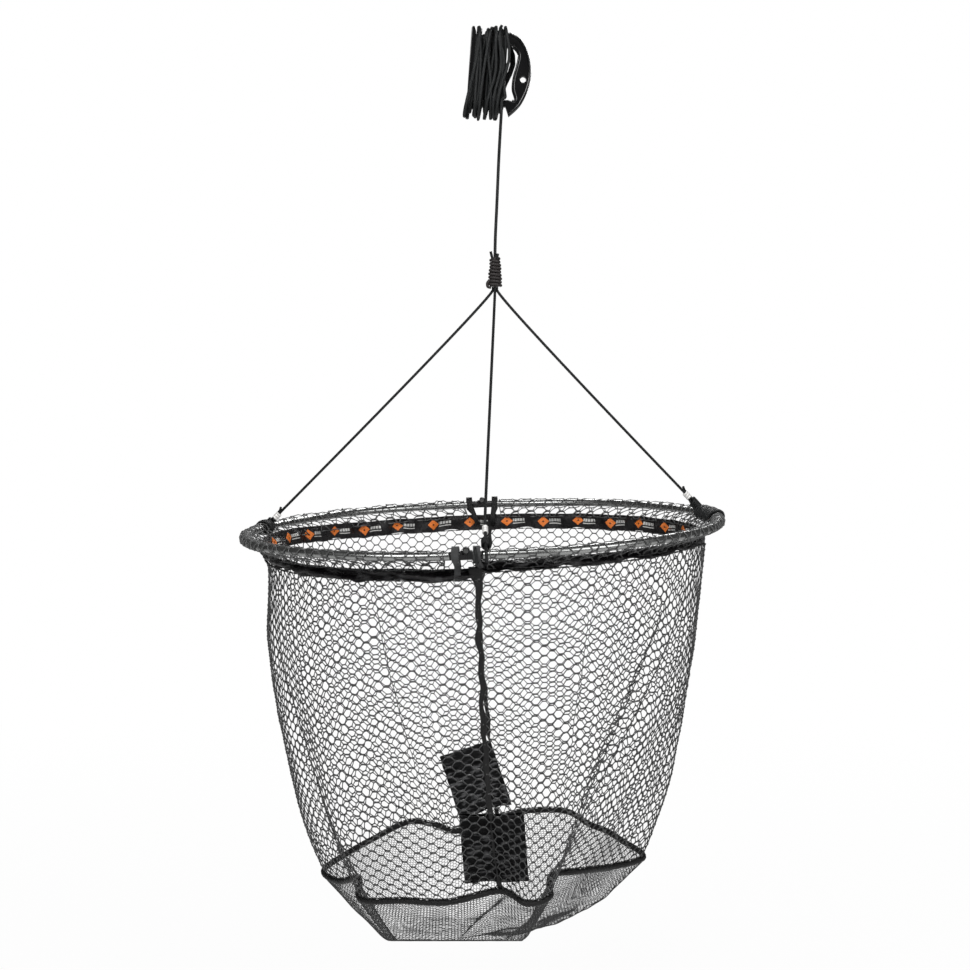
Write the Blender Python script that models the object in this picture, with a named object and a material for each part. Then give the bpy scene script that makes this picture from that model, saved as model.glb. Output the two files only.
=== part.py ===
"""Folding drop net that hangs from a rope wound on a hand winder.

Metres, +Z up. The origin is where a hand holds the wound rope. The camera side of the net is -Y.
Hoop pieces are modelled in the fold frame: its origin is the middle of the hinge line that runs from the
front hinge to the back one, its Y runs along that line, and it leans and turns with the hoop.
"""
import math

import bmesh
import bpy
from mathutils import Matrix, Vector

GAP = 0.0003  # between pieces that touch

# Hoop
HOOP_RADIUS = 0.344  # to the tube's centre line, so the hoop is 0.70 m across
TUBE_RADIUS = 0.0058
TUBE_BORE_RADIUS = 0.0046
HOOP_Z = -0.662
HOOP_LEAN = math.radians(2.1)  # the left side hangs lower
HOOP_TURN = math.radians(1.6)  # the hinge line's turn about the vertical
HINGE_OFFSET = -0.010  # the hinge line's distance from the hoop's middle
TUBE_STEP = math.radians(6)  # the hoop is drawn with flats of this turn, one centred on each side
TUBE_SIDES = 8

# Hinges of the hoop
PIN_RISE = 0.007  # the pin stands above the tube's centre line, so that the butt faces stop the halves
PIN_RADIUS = 0.002
PIN_HEAD_RADIUS = 0.0032
PIN_HEAD_LENGTH = 0.0012
PIN_CLEARANCE = 0.00015
KNUCKLE_RADIUS = 0.0045
KNUCKLE_CLEARANCE = 0.0008
HINGE_WIDTH = 0.0106
TONGUE_WIDTH = 0.004
BODY_END = 0.0082
BODY_HALF_HEIGHT = 0.005
COLLAR_END = 0.0197
SPIGOT_LENGTH = 0.011
SPIGOT_CLEARANCE = 0.0006

# Ribbon band under the hoop, and what ties it to the tube
BAND_RADIUS = 0.3266
BAND_DROP = 0.016
BAND_HEIGHT = 0.0245
BAND_THICKNESS = 0.0016
SLEEVE_THICKNESS = 0.0011
TAB_THICKNESS = 0.0019
TAB_WIDTH = 0.010
TAB_OFFSET = {-1: 0.0135, 1: 0.021}  # from the hinge, at the front and at the back
SLEEVE_START = 0.0295
WRAP_SIDES = 8
WRAP_TAIL_TURN = math.radians(12)

# Rope, knot and the three legs of the bridle
ROPE_RADIUS = 0.00225
LEG_RADIUS = 0.002
KNOT_X = 0.019
KNOT_TOP_Z = -0.266
KNOT_HEIGHT = 0.043
KNOT_TOP_RADIUS = 0.0078
KNOT_FOOT_RADIUS = 0.011
KNOT_WRAP_RADIUS = 0.0021
KNOT_WRAPS = 8
KNOT_PITCH = 0.0049
LEG_SPREAD = 0.0029
LEG_STRAIGHT = 0.012  # how far a leg runs straight out of the knot and the ferrule
LEG_STEPS = 15
SIDE_LEG_ANGLES = {"left": math.radians(163.6), "right": math.radians(16.4)}
FRONT_LEG_OFFSET = 0.0255
LOOP_GAP = 0.0023
LOOP_LENGTH = 0.020
FERRULE_LENGTH = 0.011
FERRULE_RADIUS = 0.0046

# Winder
BAR_HALF_THICKNESS = 0.006
BAR_TOP = 0.050
BAR_BOTTOM = -0.050
HANG_HOLE = (0.0595, -0.011)
HANG_HOLE_RADIUS = 0.0043
WINDER_EDGE = 0.0015
CORE_LAYER = 0.008
CORE_SPAN = (-0.006, 0.0357)
WINDING_TURNS = 8
WINDING_PITCH = 2 * ROPE_RADIUS + 0.00045
WINDING_START_X = -0.0035
WINDING_POINTS = 20

# Net
WALL_THICKNESS = 0.0022
WALL_COLUMNS = 10
WALL_ROWS = 4
WEB_WIDTH = 0.005
SEAM_WIDTH = 0.0085
SEAM_THICKNESS = 0.0024
SEAM_CLEARANCE = 0.0005  # between a panel's straight stretches and the tape's
SEAM_STEPS = 4  # straight stretches of the tapes to each row of the mesh
RING_RADIUS = 0.004
FOOT_CLEARANCE = 0.0009  # the wall's lower edge is slanted, so its outer corner dips towards the foot seam
FOOT_STEPS = 6
BASE_THICKNESS = 0.002
BASE_FLOOR_Z = -0.630  # below the hoop
BASE_MIDDLE = (-0.035, 0.0)
BASE_LEVELS = ((0, 0), (0.22, 0.48), (0.46, 0.76), (0.72, 0.84))  # shares inwards and down of the bowl's bends
BASE_STEPS = (48, 24, 24, 12)  # straight stretches round the bowl at each of these bends
BASE_SECTORS = (24, 24, 12)  # openings round the bowl between these bends
# The thick seam round the foot of the net, from the front seam anticlockwise, below the hoop's middle
RING_ROUTE = [
    (0.025, -0.230, -0.479),
    (0.061, -0.258, -0.487),
    (0.093, -0.245, -0.482),
    (0.097, -0.179, -0.474),
    (0.143, -0.143, -0.478),
    (0.190, -0.080, -0.492),
    (0.240, -0.038, -0.490),
    (0.215, 0.051, -0.492),
    (0.196, 0.120, -0.497),
    (0.170, 0.165, -0.498),
    (0.136, 0.210, -0.490),
    (0.080, 0.232, -0.495),
    (0.024, 0.222, -0.503),
    (-0.036, 0.190, -0.517),
    (-0.080, 0.208, -0.511),
    (-0.122, 0.205, -0.507),
    (-0.174, 0.145, -0.517),
    (-0.212, 0.065, -0.518),
    (-0.238, -0.012, -0.519),
    (-0.212, -0.066, -0.518),
    (-0.179, -0.129, -0.505),
    (-0.158, -0.194, -0.503),
    (-0.108, -0.227, -0.494),
    (-0.045, -0.244, -0.490),
]

# Weight pockets
POCKET_WIDTH = 0.088
POCKET_LENGTH = 0.106
POCKET_THICKNESS = 0.006
POCKET_BEND_RADIUS = 0.30
FLAP_LENGTH = 0.025
FLAP_THICKNESS = 0.0018
PLATE_STEPS = 8  # straight stretches across a pocket or a flap

HOOP_FRAME = (
    Matrix.Translation((0, 0, HOOP_Z))
    @ Matrix.Rotation(-HOOP_TURN, 4, "Z")
    @ Matrix.Rotation(-HOOP_LEAN, 4, "Y")
)
PIN_LINE = Vector((HINGE_OFFSET, 0, PIN_RISE))
FOLD_FRAME = HOOP_FRAME @ Matrix.Translation(PIN_LINE)
FLAT_RADIUS = HOOP_RADIUS * math.cos(TUBE_STEP / 2)
HINGE_Y = FLAT_RADIUS
HINGE_ANGLE = math.pi / 2 + math.atan2(-HINGE_OFFSET, FLAT_RADIUS)
BAND_BOTTOM = BAND_DROP + BAND_HEIGHT


def clear_scene():
    for old in list(bpy.data.objects):
        bpy.data.objects.remove(old, do_unlink=True)


def material(name, colour, roughness, metallic=0.0):
    made = bpy.data.materials.get(name) or bpy.data.materials.new(name)
    made.use_nodes = True
    shader = made.node_tree.nodes["Principled BSDF"]
    shader.inputs["Base Color"].default_value = (*colour, 1)
    shader.inputs["Roughness"].default_value = roughness
    shader.inputs["Metallic"].default_value = metallic
    return made


def gloss_plastic():
    return material("winder_plastic", (0.012, 0.012, 0.013), 0.25)


def hinge_plastic():
    return material("hinge_plastic", (0.02, 0.02, 0.021), 0.45)


def grey_metal():
    return material("hoop_metal", (0.30, 0.31, 0.31), 0.3, 1.0)


def ferrule_metal():
    return material("ferrule_metal", (0.62, 0.61, 0.60), 0.4, 1.0)


def rope_fibre():
    return material("rope_fibre", (0.022, 0.021, 0.022), 0.8)


def mesh_thread():
    return material("mesh_thread", (0.035, 0.036, 0.037), 0.6)


def ribbon_cloth():
    return material("ribbon_cloth", (0.015, 0.014, 0.016), 0.75)


def webbing():
    return material("webbing", (0.05, 0.052, 0.052), 0.85)


def pocket_cloth():
    return material("pocket_cloth", (0.014, 0.014, 0.014), 0.7)


def place(name, data, finish, parent=None):
    made = bpy.data.objects.new(name, data)
    bpy.context.scene.collection.objects.link(made)
    data.materials.append(finish)
    made.parent = parent
    return made


def from_bmesh(name, bm, finish, parent=None, smooth=True):
    bmesh.ops.recalc_face_normals(bm, faces=bm.faces)
    data = bpy.data.meshes.new(name)
    bm.to_mesh(data)
    bm.free()
    if smooth:
        data.shade_smooth()
        data.set_sharp_from_angle(angle=math.radians(40))
    return place(name, data, finish, parent)


def loft(name, rings, finish, parent=None, bores=None):
    """A solid through rings of points, hollow along its length where bores gives the inner rings."""
    bm = bmesh.new()
    outer = [[bm.verts.new(p) for p in ring] for ring in rings]
    inner = [[bm.verts.new(p) for p in ring] for ring in bores or []]
    count = len(rings[0])
    for skin in (outer, inner):
        for first, second in zip(skin, skin[1:]):
            for i in range(count):
                j = (i + 1) % count
                bm.faces.new((first[i], first[j], second[j], second[i]))
    for end in (0, -1):
        if inner:
            for i in range(count):
                j = (i + 1) % count
                bm.faces.new((outer[end][i], outer[end][j], inner[end][j], inner[end][i]))
        else:
            bm.faces.new(outer[end])
    return from_bmesh(name, bm, finish, parent)


def cord(name, points, radius, finish, parent=None, resolution=2, closed=False):
    data = bpy.data.curves.new(name, "CURVE")
    data.dimensions = "3D"
    data.bevel_depth = radius
    data.bevel_resolution = resolution
    data.use_fill_caps = True
    data.twist_mode = "MINIMUM"
    spline = data.splines.new("POLY")
    spline.points.add(len(points) - 1)
    for slot, point in zip(spline.points, points):
        slot.co = (*point, 1)
    spline.use_cyclic_u = closed
    spline.use_smooth = True
    return place(name, data, finish, parent)


def through(points, at, closed=False):
    """The point at a given place, in steps between points, of the smooth curve through all of them."""
    count = len(points)
    i = math.floor(at)
    t = at - i

    def pick(k):
        return Vector(points[k % count] if closed else points[max(0, min(count - 1, k))])

    a, b, c, d = (pick(i + k) for k in (-1, 0, 1, 2))
    return 0.5 * (2 * b + (c - a) * t + (2 * a - 5 * b + 4 * c - d) * t**2 + (3 * b - a - 3 * c + d) * t**3)


def smooth_route(points, per_span):
    last = len(points) - 1
    steps = last * per_span
    return [through(points, last * k / steps) for k in range(steps + 1)]


def rim(angle, outward=0.0, up=0.0):
    """A point at the hoop, in the fold frame. The angle runs anticlockwise from the right side."""
    from_flat = (angle + TUBE_STEP / 2) % TUBE_STEP - TUBE_STEP / 2
    radius = (FLAT_RADIUS + outward) / math.cos(from_flat)
    return Vector((radius * math.cos(angle), radius * math.sin(angle), up)) - PIN_LINE


def rim_in_world(angle, outward=0.0, up=0.0):
    return FOLD_FRAME @ rim(angle, outward, up)


def arc_rings(start, stop, section):
    """The rings of a section (outward, up) swept round the hoop between two angles."""
    low, high = min(start, stop), max(start, stop)
    corner = (math.floor(low / TUBE_STEP - 0.5) + 1.5) * TUBE_STEP
    angles = [low]
    while corner < high - 1e-6:
        if corner > low + 1e-6:
            angles.append(corner)
        corner += TUBE_STEP
    angles.append(high)
    return [[rim(a, out, up) for out, up in section] for a in angles]


def circle(radius, sides):
    turn = 2 * math.pi / sides
    return [(radius * math.cos(turn * k), radius * math.sin(turn * k)) for k in range(sides)]


def from_hinge(side, end, distance):
    """The hoop angle of a place on one side of a hinge: side -1 left or 1 right, end -1 front or 1 back."""
    turn = HINGE_ANGLE - side * distance / FLAT_RADIUS
    return end * turn if side > 0 or end > 0 else 2 * math.pi - turn


def prism(name, outline, y_low, y_high, finish=None, parent=None):
    """A flat outline (x, z) given a width along Y."""
    rings = [[Vector((x, y, z)) for x, z in outline] for y in (y_low, y_high)]
    return loft(name, rings, finish or hinge_plastic(), parent)


def guide(piece):
    piece.hide_render = True
    piece.display_type = "WIRE"
    return piece


def combine(piece, other, operation):
    step = piece.modifiers.new(other.name, "BOOLEAN")
    step.operation = operation
    step.object = guide(other)
    step.solver = "EXACT"


def arc_through(first, middle, last, steps):
    """Points (x, z) along the circle through three points, without the two ends."""
    (ax, ay), (bx, by), (cx, cy) = first, middle, last
    d = 2 * (ax * (by - cy) + bx * (cy - ay) + cx * (ay - by))
    a2, b2, c2 = ax**2 + ay**2, bx**2 + by**2, cx**2 + cy**2
    ux = (a2 * (by - cy) + b2 * (cy - ay) + c2 * (ay - by)) / d
    uy = (a2 * (cx - bx) + b2 * (ax - cx) + c2 * (bx - ax)) / d
    radius = math.hypot(ax - ux, ay - uy)
    low = math.atan2(ay - uy, ax - ux)
    high = math.atan2(cy - uy, cx - ux)
    angles = [low + (high - low) * k / steps for k in range(1, steps)]
    return [(ux + radius * math.cos(a), uy + radius * math.sin(a)) for a in angles]


def make_winder():
    """Horned end bar, two saddle bars and a D handle, moulded in one piece."""
    foot, belly, brow = (0.0385, -0.064), (0.071, -0.002), (0.0405, 0.056)
    neck = CORE_SPAN[1] + GAP + WINDER_EDGE
    outline = [(-0.024, -0.066), (-0.019, -0.066), (-0.0172, BAR_BOTTOM), (neck, BAR_BOTTOM), foot]
    outline += arc_through(foot, belly, brow, 12)
    outline += [brow, (neck, BAR_TOP)]
    outline += [(-0.008, BAR_TOP), (-0.0085, 0.058), (-0.012, 0.0655), (-0.0145, 0.063)]
    frame = prism("winder_frame", outline, -BAR_HALF_THICKNESS, BAR_HALF_THICKNESS, gloss_plastic())
    edge = frame.modifiers.new("rounded_edges", "BEVEL")
    edge.width = WINDER_EDGE
    edge.segments = 1
    edge.limit_method = "ANGLE"
    edge.angle_limit = math.radians(50)
    window = [
        (-0.014, -0.040),
        (0.038, -0.040),
        (0.046, -0.043),
        (0.049, -0.038),
        (0.0455, -0.024),
        (0.051, 0.006),
        (0.0545, 0.021),
        (0.050, 0.032),
        (0.040, 0.040),
        (-0.0075, 0.040),
    ]
    deep = 2 * BAR_HALF_THICKNESS
    combine(frame, prism("cut_window", window, -deep, deep), "DIFFERENCE")
    ring = [(HANG_HOLE[0] + x, HANG_HOLE[1] + z) for x, z in circle(HANG_HOLE_RADIUS, 16)]
    combine(frame, prism("cut_hang_hole", ring, -deep, deep), "DIFFERENCE")


def stadium(half_width, half_height, steps):
    """Points (y, z) round a loop with round ends, from the foot of its back run upwards."""
    straight = half_height - half_width
    points = []
    for sign in (1, -1):
        for k in range(steps // 2 - 4):
            turn = math.pi * k / (steps // 2 - 5)
            out, past = math.cos(turn), math.sin(turn)
            points.append((sign * half_width * out, sign * (straight + half_width * past)))
        for k in range(1, 5):
            points.append((-sign * half_width, sign * straight * (1 - 2 * k / 5)))
    return points


def make_rope_pack():
    """The inner layers as a plain core round both saddle bars, and the outer layer wound over it."""
    inner_y = BAR_HALF_THICKNESS + GAP
    inner_z = BAR_TOP + GAP
    core_y = inner_y + CORE_LAYER
    core_z = inner_z + CORE_LAYER
    outer = stadium(core_y, core_z, WINDING_POINTS)
    inner = []
    for y, z in outer:
        inner.append((max(-inner_y, min(inner_y, y)), max(-inner_z, min(inner_z, z))))
    corners = core_z - core_y
    inner = [(math.copysign(inner_y, y) if abs(z) <= corners else y, z) for y, z in inner]
    rings = [[Vector((x, y, z)) for y, z in outer] for x in CORE_SPAN]
    bores = [[Vector((x, y, z)) for y, z in inner] for x in CORE_SPAN]
    loft("rope_core", rings, rope_fibre(), bores=bores)

    half_y = core_y + GAP + ROPE_RADIUS
    half_z = core_z + GAP + ROPE_RADIUS
    turn = stadium(half_y, half_z, WINDING_POINTS)
    points = []
    for k in range(WINDING_TURNS * WINDING_POINTS - WINDING_POINTS // 2):
        y, z = turn[k % WINDING_POINTS]
        points.append(Vector((WINDING_START_X + WINDING_PITCH * k / WINDING_POINTS, y, z)))
    first, last = points[0], points[-1]
    points.insert(0, first - Vector((0, 0, 2 * ROPE_RADIUS)))
    points.append(last - Vector((0, 0, 2 * ROPE_RADIUS)))
    cord("rope_winding", points, ROPE_RADIUS, rope_fibre(), resolution=1)
    print_least_gap(points)
    return points[-1]


def print_least_gap(points):
    """Prints the winding's least gap to itself, measured between points half a turn or more apart."""
    least = 1.0
    for i, first in enumerate(points):
        for second in points[i + WINDING_POINTS // 2 :]:
            least = min(least, (first - second).length)
    print("winding: least gap to itself %.2f mm" % (1000 * (least - 2 * ROPE_RADIUS)))


def make_main_rope(start):
    """From the winding's last run down to the top of the knot."""
    top = start - Vector((0, 0, GAP))
    knot = Vector((KNOT_X, 0, KNOT_TOP_Z + GAP))
    route = [
        top,
        top - Vector((-0.0003, 0, 0.014)),
        Vector((0.0332, -0.0164, -0.062)),
        Vector((0.0310, -0.0125, -0.080)),
        Vector((0.0285, -0.0055, -0.102)),
        Vector((0.0265, -0.0008, -0.132)),
        Vector((0.0232, 0, -0.185)),
        knot + Vector((0.0006, 0, 0.030)),
        knot,
    ]
    cord("main_rope", smooth_route(route, 4), ROPE_RADIUS, rope_fibre())


def make_knot():
    """A tapered bundle of cord ends under a whipping of eight wraps."""
    foot_z = KNOT_TOP_Z - KNOT_HEIGHT
    room = 2 * KNOT_WRAP_RADIUS + GAP
    sides = circle(1.0, 12)
    rings = []
    for z, radius in ((KNOT_TOP_Z, KNOT_TOP_RADIUS - room), (foot_z, KNOT_FOOT_RADIUS - room)):
        rings.append([Vector((KNOT_X + radius * x, radius * y, z)) for x, y in sides])
    loft("knot_core", rings, rope_fibre())

    per_wrap = 10
    points = []
    for k in range(KNOT_WRAPS * per_wrap + 1):
        down = k / (KNOT_WRAPS * per_wrap)
        radius = KNOT_TOP_RADIUS + (KNOT_FOOT_RADIUS - KNOT_TOP_RADIUS) * down - KNOT_WRAP_RADIUS + GAP
        turn = 2 * math.pi * k / per_wrap
        z = KNOT_TOP_Z - KNOT_WRAP_RADIUS - KNOT_PITCH * k / per_wrap
        points.append(Vector((KNOT_X + radius * math.cos(turn), radius * math.sin(turn), z)))
    cord("knot_wraps", points, KNOT_WRAP_RADIUS, rope_fibre(), resolution=1)


def leg_places():
    """For each leg: its side, the tube's centre in the fold frame and its spread at the knot."""
    front = from_hinge(1, -1, FRONT_LEG_OFFSET)
    return {
        "left": (SIDE_LEG_ANGLES["left"], (-0.96, 0.28)),
        "right": (SIDE_LEG_ANGLES["right"], (0.96, 0.28)),
        "front": (front, (0, -1)),
    }


def make_bridle(fold):
    """Three legs, each crimped into a loop round the hoop."""
    knot_foot = Vector((KNOT_X, 0, KNOT_TOP_Z - KNOT_HEIGHT))
    for side, (angle, spread) in leg_places().items():
        centre = rim(angle)
        knot_local = FOLD_FRAME.inverted() @ knot_foot
        tangent = (rim(angle + 0.001) - rim(angle - 0.001)).normalized()
        up = knot_local - centre
        up = (up - tangent * up.dot(tangent)).normalized()
        across = tangent.cross(up)

        radius = TUBE_RADIUS + GAP + LEG_RADIUS
        route = [(LOOP_GAP, LOOP_LENGTH), (LOOP_GAP, LOOP_LENGTH * 0.75)]
        for k in range(13):
            turn = math.radians(52 - (360 - 2 * 38) * k / 12)
            route.append((radius * math.cos(turn), radius * math.sin(turn)))
        route += [(-x, z) for x, z in route[1::-1]]
        points = [centre + across * x + up * z for x, z in route]
        cord(f"hoop_loop_{side}", points, LEG_RADIUS, rope_fibre(), fold, resolution=1)

        ends = [LOOP_LENGTH + GAP, LOOP_LENGTH + GAP + FERRULE_LENGTH]
        rings = []
        for out in ends:
            ring = circle(FERRULE_RADIUS, 12)
            rings.append([centre + up * out + across * x + tangent * y for x, y in ring])
        loft(f"ferrule_{side}", rings, ferrule_metal(), fold)

        foot = FOLD_FRAME @ (centre + up * (ends[1] + GAP))
        pull = FOLD_FRAME.to_3x3() @ up
        head = knot_foot + Vector((spread[0] * LEG_SPREAD, spread[1] * LEG_SPREAD, -GAP))
        cord(f"bridle_leg_{side}", taut_run(head, foot, pull), LEG_RADIUS, rope_fibre(), resolution=1)


def taut_run(head, foot, pull):
    """Points of a leg that leaves the knot downwards and enters its ferrule along the pull."""
    start = head - Vector((0, 0, 2 * LEG_RADIUS))
    stop = foot + pull * 2 * LEG_RADIUS
    below = start - Vector((0, 0, LEG_STRAIGHT))
    above = stop + pull * LEG_STRAIGHT
    points = [head]
    for k in range(LEG_STEPS + 1):
        t = 0.5 - 0.5 * math.cos(math.pi * k / LEG_STEPS)
        s = 1 - t
        points.append(start * s**3 + below * 3 * s * s * t + above * 3 * s * t * t + stop * t**3)
    return points + [foot]


def make_hoop(fold):
    """Two half hoops of tube, each with a moulded connector in both ends, and the two hinge pins."""
    for side, name in ((-1, "left"), (1, "right")):
        start = from_hinge(side, -1, COLLAR_END + GAP)
        stop = from_hinge(side, 1, COLLAR_END + GAP)
        outer = arc_rings(start, stop, circle(TUBE_RADIUS, TUBE_SIDES))
        inner = arc_rings(start, stop, circle(TUBE_BORE_RADIUS, TUBE_SIDES))
        loft(f"hoop_tube_{name}", outer, grey_metal(), fold, bores=inner)
        for end, end_name in ((-1, "front"), (1, "back")):
            make_connector(f"hinge_{end_name}_{name}", side, end, fold)
    for end, end_name in ((-1, "front"), (1, "back")):
        make_pin(f"hinge_pin_{end_name}", end, fold)


def make_connector(name, side, end, fold):
    """Tongue on the left, fork on the right, with a collar and a spigot for the tube."""
    y_mid = end * HINGE_Y
    half = HINGE_WIDTH / 2
    centre_z = -PIN_RISE
    clear = KNUCKLE_RADIUS + KNUCKLE_CLEARANCE

    def outline(points):
        return [(side * x, centre_z + z) for x, z in points]

    block_top = PIN_RISE - clear + 0.0002
    body = [
        (GAP / 2, -BODY_HALF_HEIGHT),
        (BODY_END, -BODY_HALF_HEIGHT),
        (BODY_END, BODY_HALF_HEIGHT),
        (clear, BODY_HALF_HEIGHT),
        (clear, block_top),
        (GAP / 2, block_top),
    ]
    piece = prism(name, outline(body), y_mid - half, y_mid + half, parent=fold)

    slot = TONGUE_WIDTH / 2 + GAP
    ear = half - 0.0001
    spans = [(-TONGUE_WIDTH / 2, TONGUE_WIDTH / 2)] if side < 0 else [(-ear, -slot), (slot, ear)]
    for number, (low, high) in enumerate(spans):
        disc = [(x, PIN_RISE + z) for x, z in circle(KNUCKLE_RADIUS, 20)]
        arm = [(0.0003, PIN_RISE - 0.9 * KNUCKLE_RADIUS), (BODY_END - 0.0005, block_top - 0.001)]
        arm += [(BODY_END - 0.0005, PIN_RISE - 0.0004), (0.0003, PIN_RISE - 0.0004)]
        for part, shape in (("disc", disc), ("arm", arm)):
            other = prism(f"{name}_{part}_{number}", outline(shape), y_mid + low, y_mid + high, parent=fold)
            combine(piece, other, "UNION")

    collar_start = from_hinge(side, end, BODY_END - 0.0004)
    collar_end = from_hinge(side, end, COLLAR_END)
    spigot_end = from_hinge(side, end, COLLAR_END + SPIGOT_LENGTH)
    spigot = TUBE_BORE_RADIUS - SPIGOT_CLEARANCE
    stops = [
        (collar_start, TUBE_RADIUS),
        (collar_end, TUBE_RADIUS),
        (collar_end, spigot),
        (spigot_end, spigot),
    ]
    rings = [[rim(a, x, z) for x, z in circle(r, 16)] for a, r in stops]
    combine(piece, loft(f"{name}_collar", rings, hinge_plastic(), fold), "UNION")

    bore = circle(PIN_RADIUS + PIN_CLEARANCE, 16)
    combine(piece, prism(f"{name}_bore", bore, y_mid - 0.02, y_mid + 0.02, parent=fold), "DIFFERENCE")


def make_pin(name, end, fold):
    """A plain pin, headed at both ends outside the fork."""
    face = HINGE_WIDTH / 2 + GAP
    tip = face + PIN_HEAD_LENGTH
    stops = [(-tip, PIN_HEAD_RADIUS), (-face, PIN_HEAD_RADIUS), (-face, PIN_RADIUS)]
    stops += [(face, PIN_RADIUS), (face, PIN_HEAD_RADIUS), (tip, PIN_HEAD_RADIUS)]
    rings = []
    for y, radius in stops:
        rings.append([Vector((x, end * HINGE_Y + y, z)) for x, z in circle(radius, 16)])
    loft(name, rings, grey_metal(), fold)


def wrap_section(thickness):
    """Outer and inner outline (outward, up) of a wrap round the tube whose tail reaches the ribbon band."""
    spread = WRAP_TAIL_TURN
    side_turn = (2 * math.pi - 2 * spread) / (WRAP_SIDES - 1)
    inside = (TUBE_RADIUS + GAP) / math.cos(side_turn / 2)
    outside = inside + thickness
    reach = BAND_RADIUS - HOOP_RADIUS
    tip = -BAND_DROP + GAP
    tail = math.atan2(tip, reach)
    turns = [tail + spread + side_turn * k for k in range(WRAP_SIDES)]
    outer = [(outside * math.cos(a), outside * math.sin(a)) for a in turns]
    outer += [(reach - BAND_THICKNESS * 0.45, tip), (reach + BAND_THICKNESS * 0.45, tip)]
    turns += [tail - spread / 3, tail + spread / 3]
    inner = [(inside * math.cos(a), inside * math.sin(a)) for a in turns]
    return outer, inner


def make_wraps(fold):
    """Mesh sleeves and webbing tabs round the tube. They stop at each bridle loop and at the hinges."""
    room = (LEG_RADIUS + 2 * GAP) / HOOP_RADIUS
    outer, inner = wrap_section(SLEEVE_THICKNESS)
    for side, name in ((-1, "left"), (1, "right")):
        loop = SIDE_LEG_ANGLES[name]
        for end, end_name in ((-1, "front"), (1, "back")):
            start = from_hinge(side, end, SLEEVE_START)
            stop = loop - room * side * end * -1
            rings = arc_rings(start, stop, outer)
            bores = arc_rings(start, stop, inner)
            loft(f"net_sleeve_{name}_{end_name}", rings, mesh_thread(), fold, bores=bores)

    outer, inner = wrap_section(TAB_THICKNESS)
    for side, name in ((-1, "left"), (1, "right")):
        for end, end_name in ((-1, "front"), (1, "back")):
            middle = TAB_OFFSET[end]
            start = from_hinge(side, end, middle - TAB_WIDTH / 2)
            stop = from_hinge(side, end, middle + TAB_WIDTH / 2)
            rings = arc_rings(start, stop, outer)
            bores = arc_rings(start, stop, inner)
            loft(f"web_tab_{end_name}_{name}", rings, webbing(), fold, bores=bores)


def make_ribbon():
    """The ribbon band, in two halves that meet at the front and back seams."""
    inner = BAND_RADIUS - BAND_THICKNESS / 2 - HOOP_RADIUS
    outer = BAND_RADIUS + BAND_THICKNESS / 2 - HOOP_RADIUS
    section = [(inner, -BAND_DROP), (outer, -BAND_DROP), (outer, -BAND_BOTTOM), (inner, -BAND_BOTTOM)]
    room = GAP / BAND_RADIUS
    for name, first in (("left", math.pi / 2), ("right", -math.pi / 2)):
        rings = arc_rings(first + room, first + math.pi - room, section)
        world = [[FOLD_FRAME @ p for p in ring] for ring in rings]
        loft(f"ribbon_{name}", world, ribbon_cloth())


def ring_point(angle):
    """The thick foot seam's centre line at an angle round the net, in world space."""
    steps = len(RING_ROUTE) * (angle + math.pi / 2) / (2 * math.pi)
    return through(RING_ROUTE, steps, closed=True) + Vector((0, 0, HOOP_Z))


def wall_point(angle, depth):
    """A point of the net's wall: depth runs from 0 under the ribbon to 1 on the foot seam."""
    head = rim_in_world(angle, BAND_RADIUS - HOOP_RADIUS, -(BAND_BOTTOM + GAP))
    foot = ring_point(angle) + Vector((0, 0, RING_RADIUS + FOOT_CLEARANCE))
    drawn_in = 0.45 * depth + 0.55 * depth**3.7
    flat = head.lerp(foot, drawn_in)
    return Vector((flat.x, flat.y, head.z + (foot.z - head.z) * depth))


def wall_normal(angle, depth):
    """The wall's normal, pointing into the net."""
    step = 0.01
    across = wall_point(angle + step, depth) - wall_point(angle - step, depth)
    down = wall_point(angle, min(1, depth + step)) - wall_point(angle, max(0, depth - step))
    return across.cross(down).normalized()


def clipped(shape, width, height):
    """A convex shape cut to the rectangle from 0 to width and 0 to height."""
    for axis, limit, sign in ((0, 0, 1), (0, width, -1), (1, 0, 1), (1, height, -1)):
        kept = []
        for here, there in zip(shape, shape[1:] + shape[:1]):
            a, b = sign * (here[axis] - limit), sign * (there[axis] - limit)
            if a >= 0:
                kept.append(here)
            if (a > 0 > b) or (a < 0 < b):
                t = a / (a - b)
                kept.append((here[0] + (there[0] - here[0]) * t, here[1] + (there[1] - here[1]) * t))
        shape = kept
    return shape


def inset(shape, width):
    """A convex shape with each edge moved inwards."""
    lines = []
    for (ax, ay), (bx, by) in zip(shape, shape[1:] + shape[:1]):
        long = math.hypot(bx - ax, by - ay)
        nx, ny = -(by - ay) / long, (bx - ax) / long
        lines.append((nx, ny, nx * ax + ny * ay + width))
    corners = []
    for (a, b, c), (d, e, f) in zip(lines[-1:] + lines[:-1], lines):
        det = a * e - b * d
        corners.append(((c * e - b * f) / det, (a * f - c * d) / det))
    return corners


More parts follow.
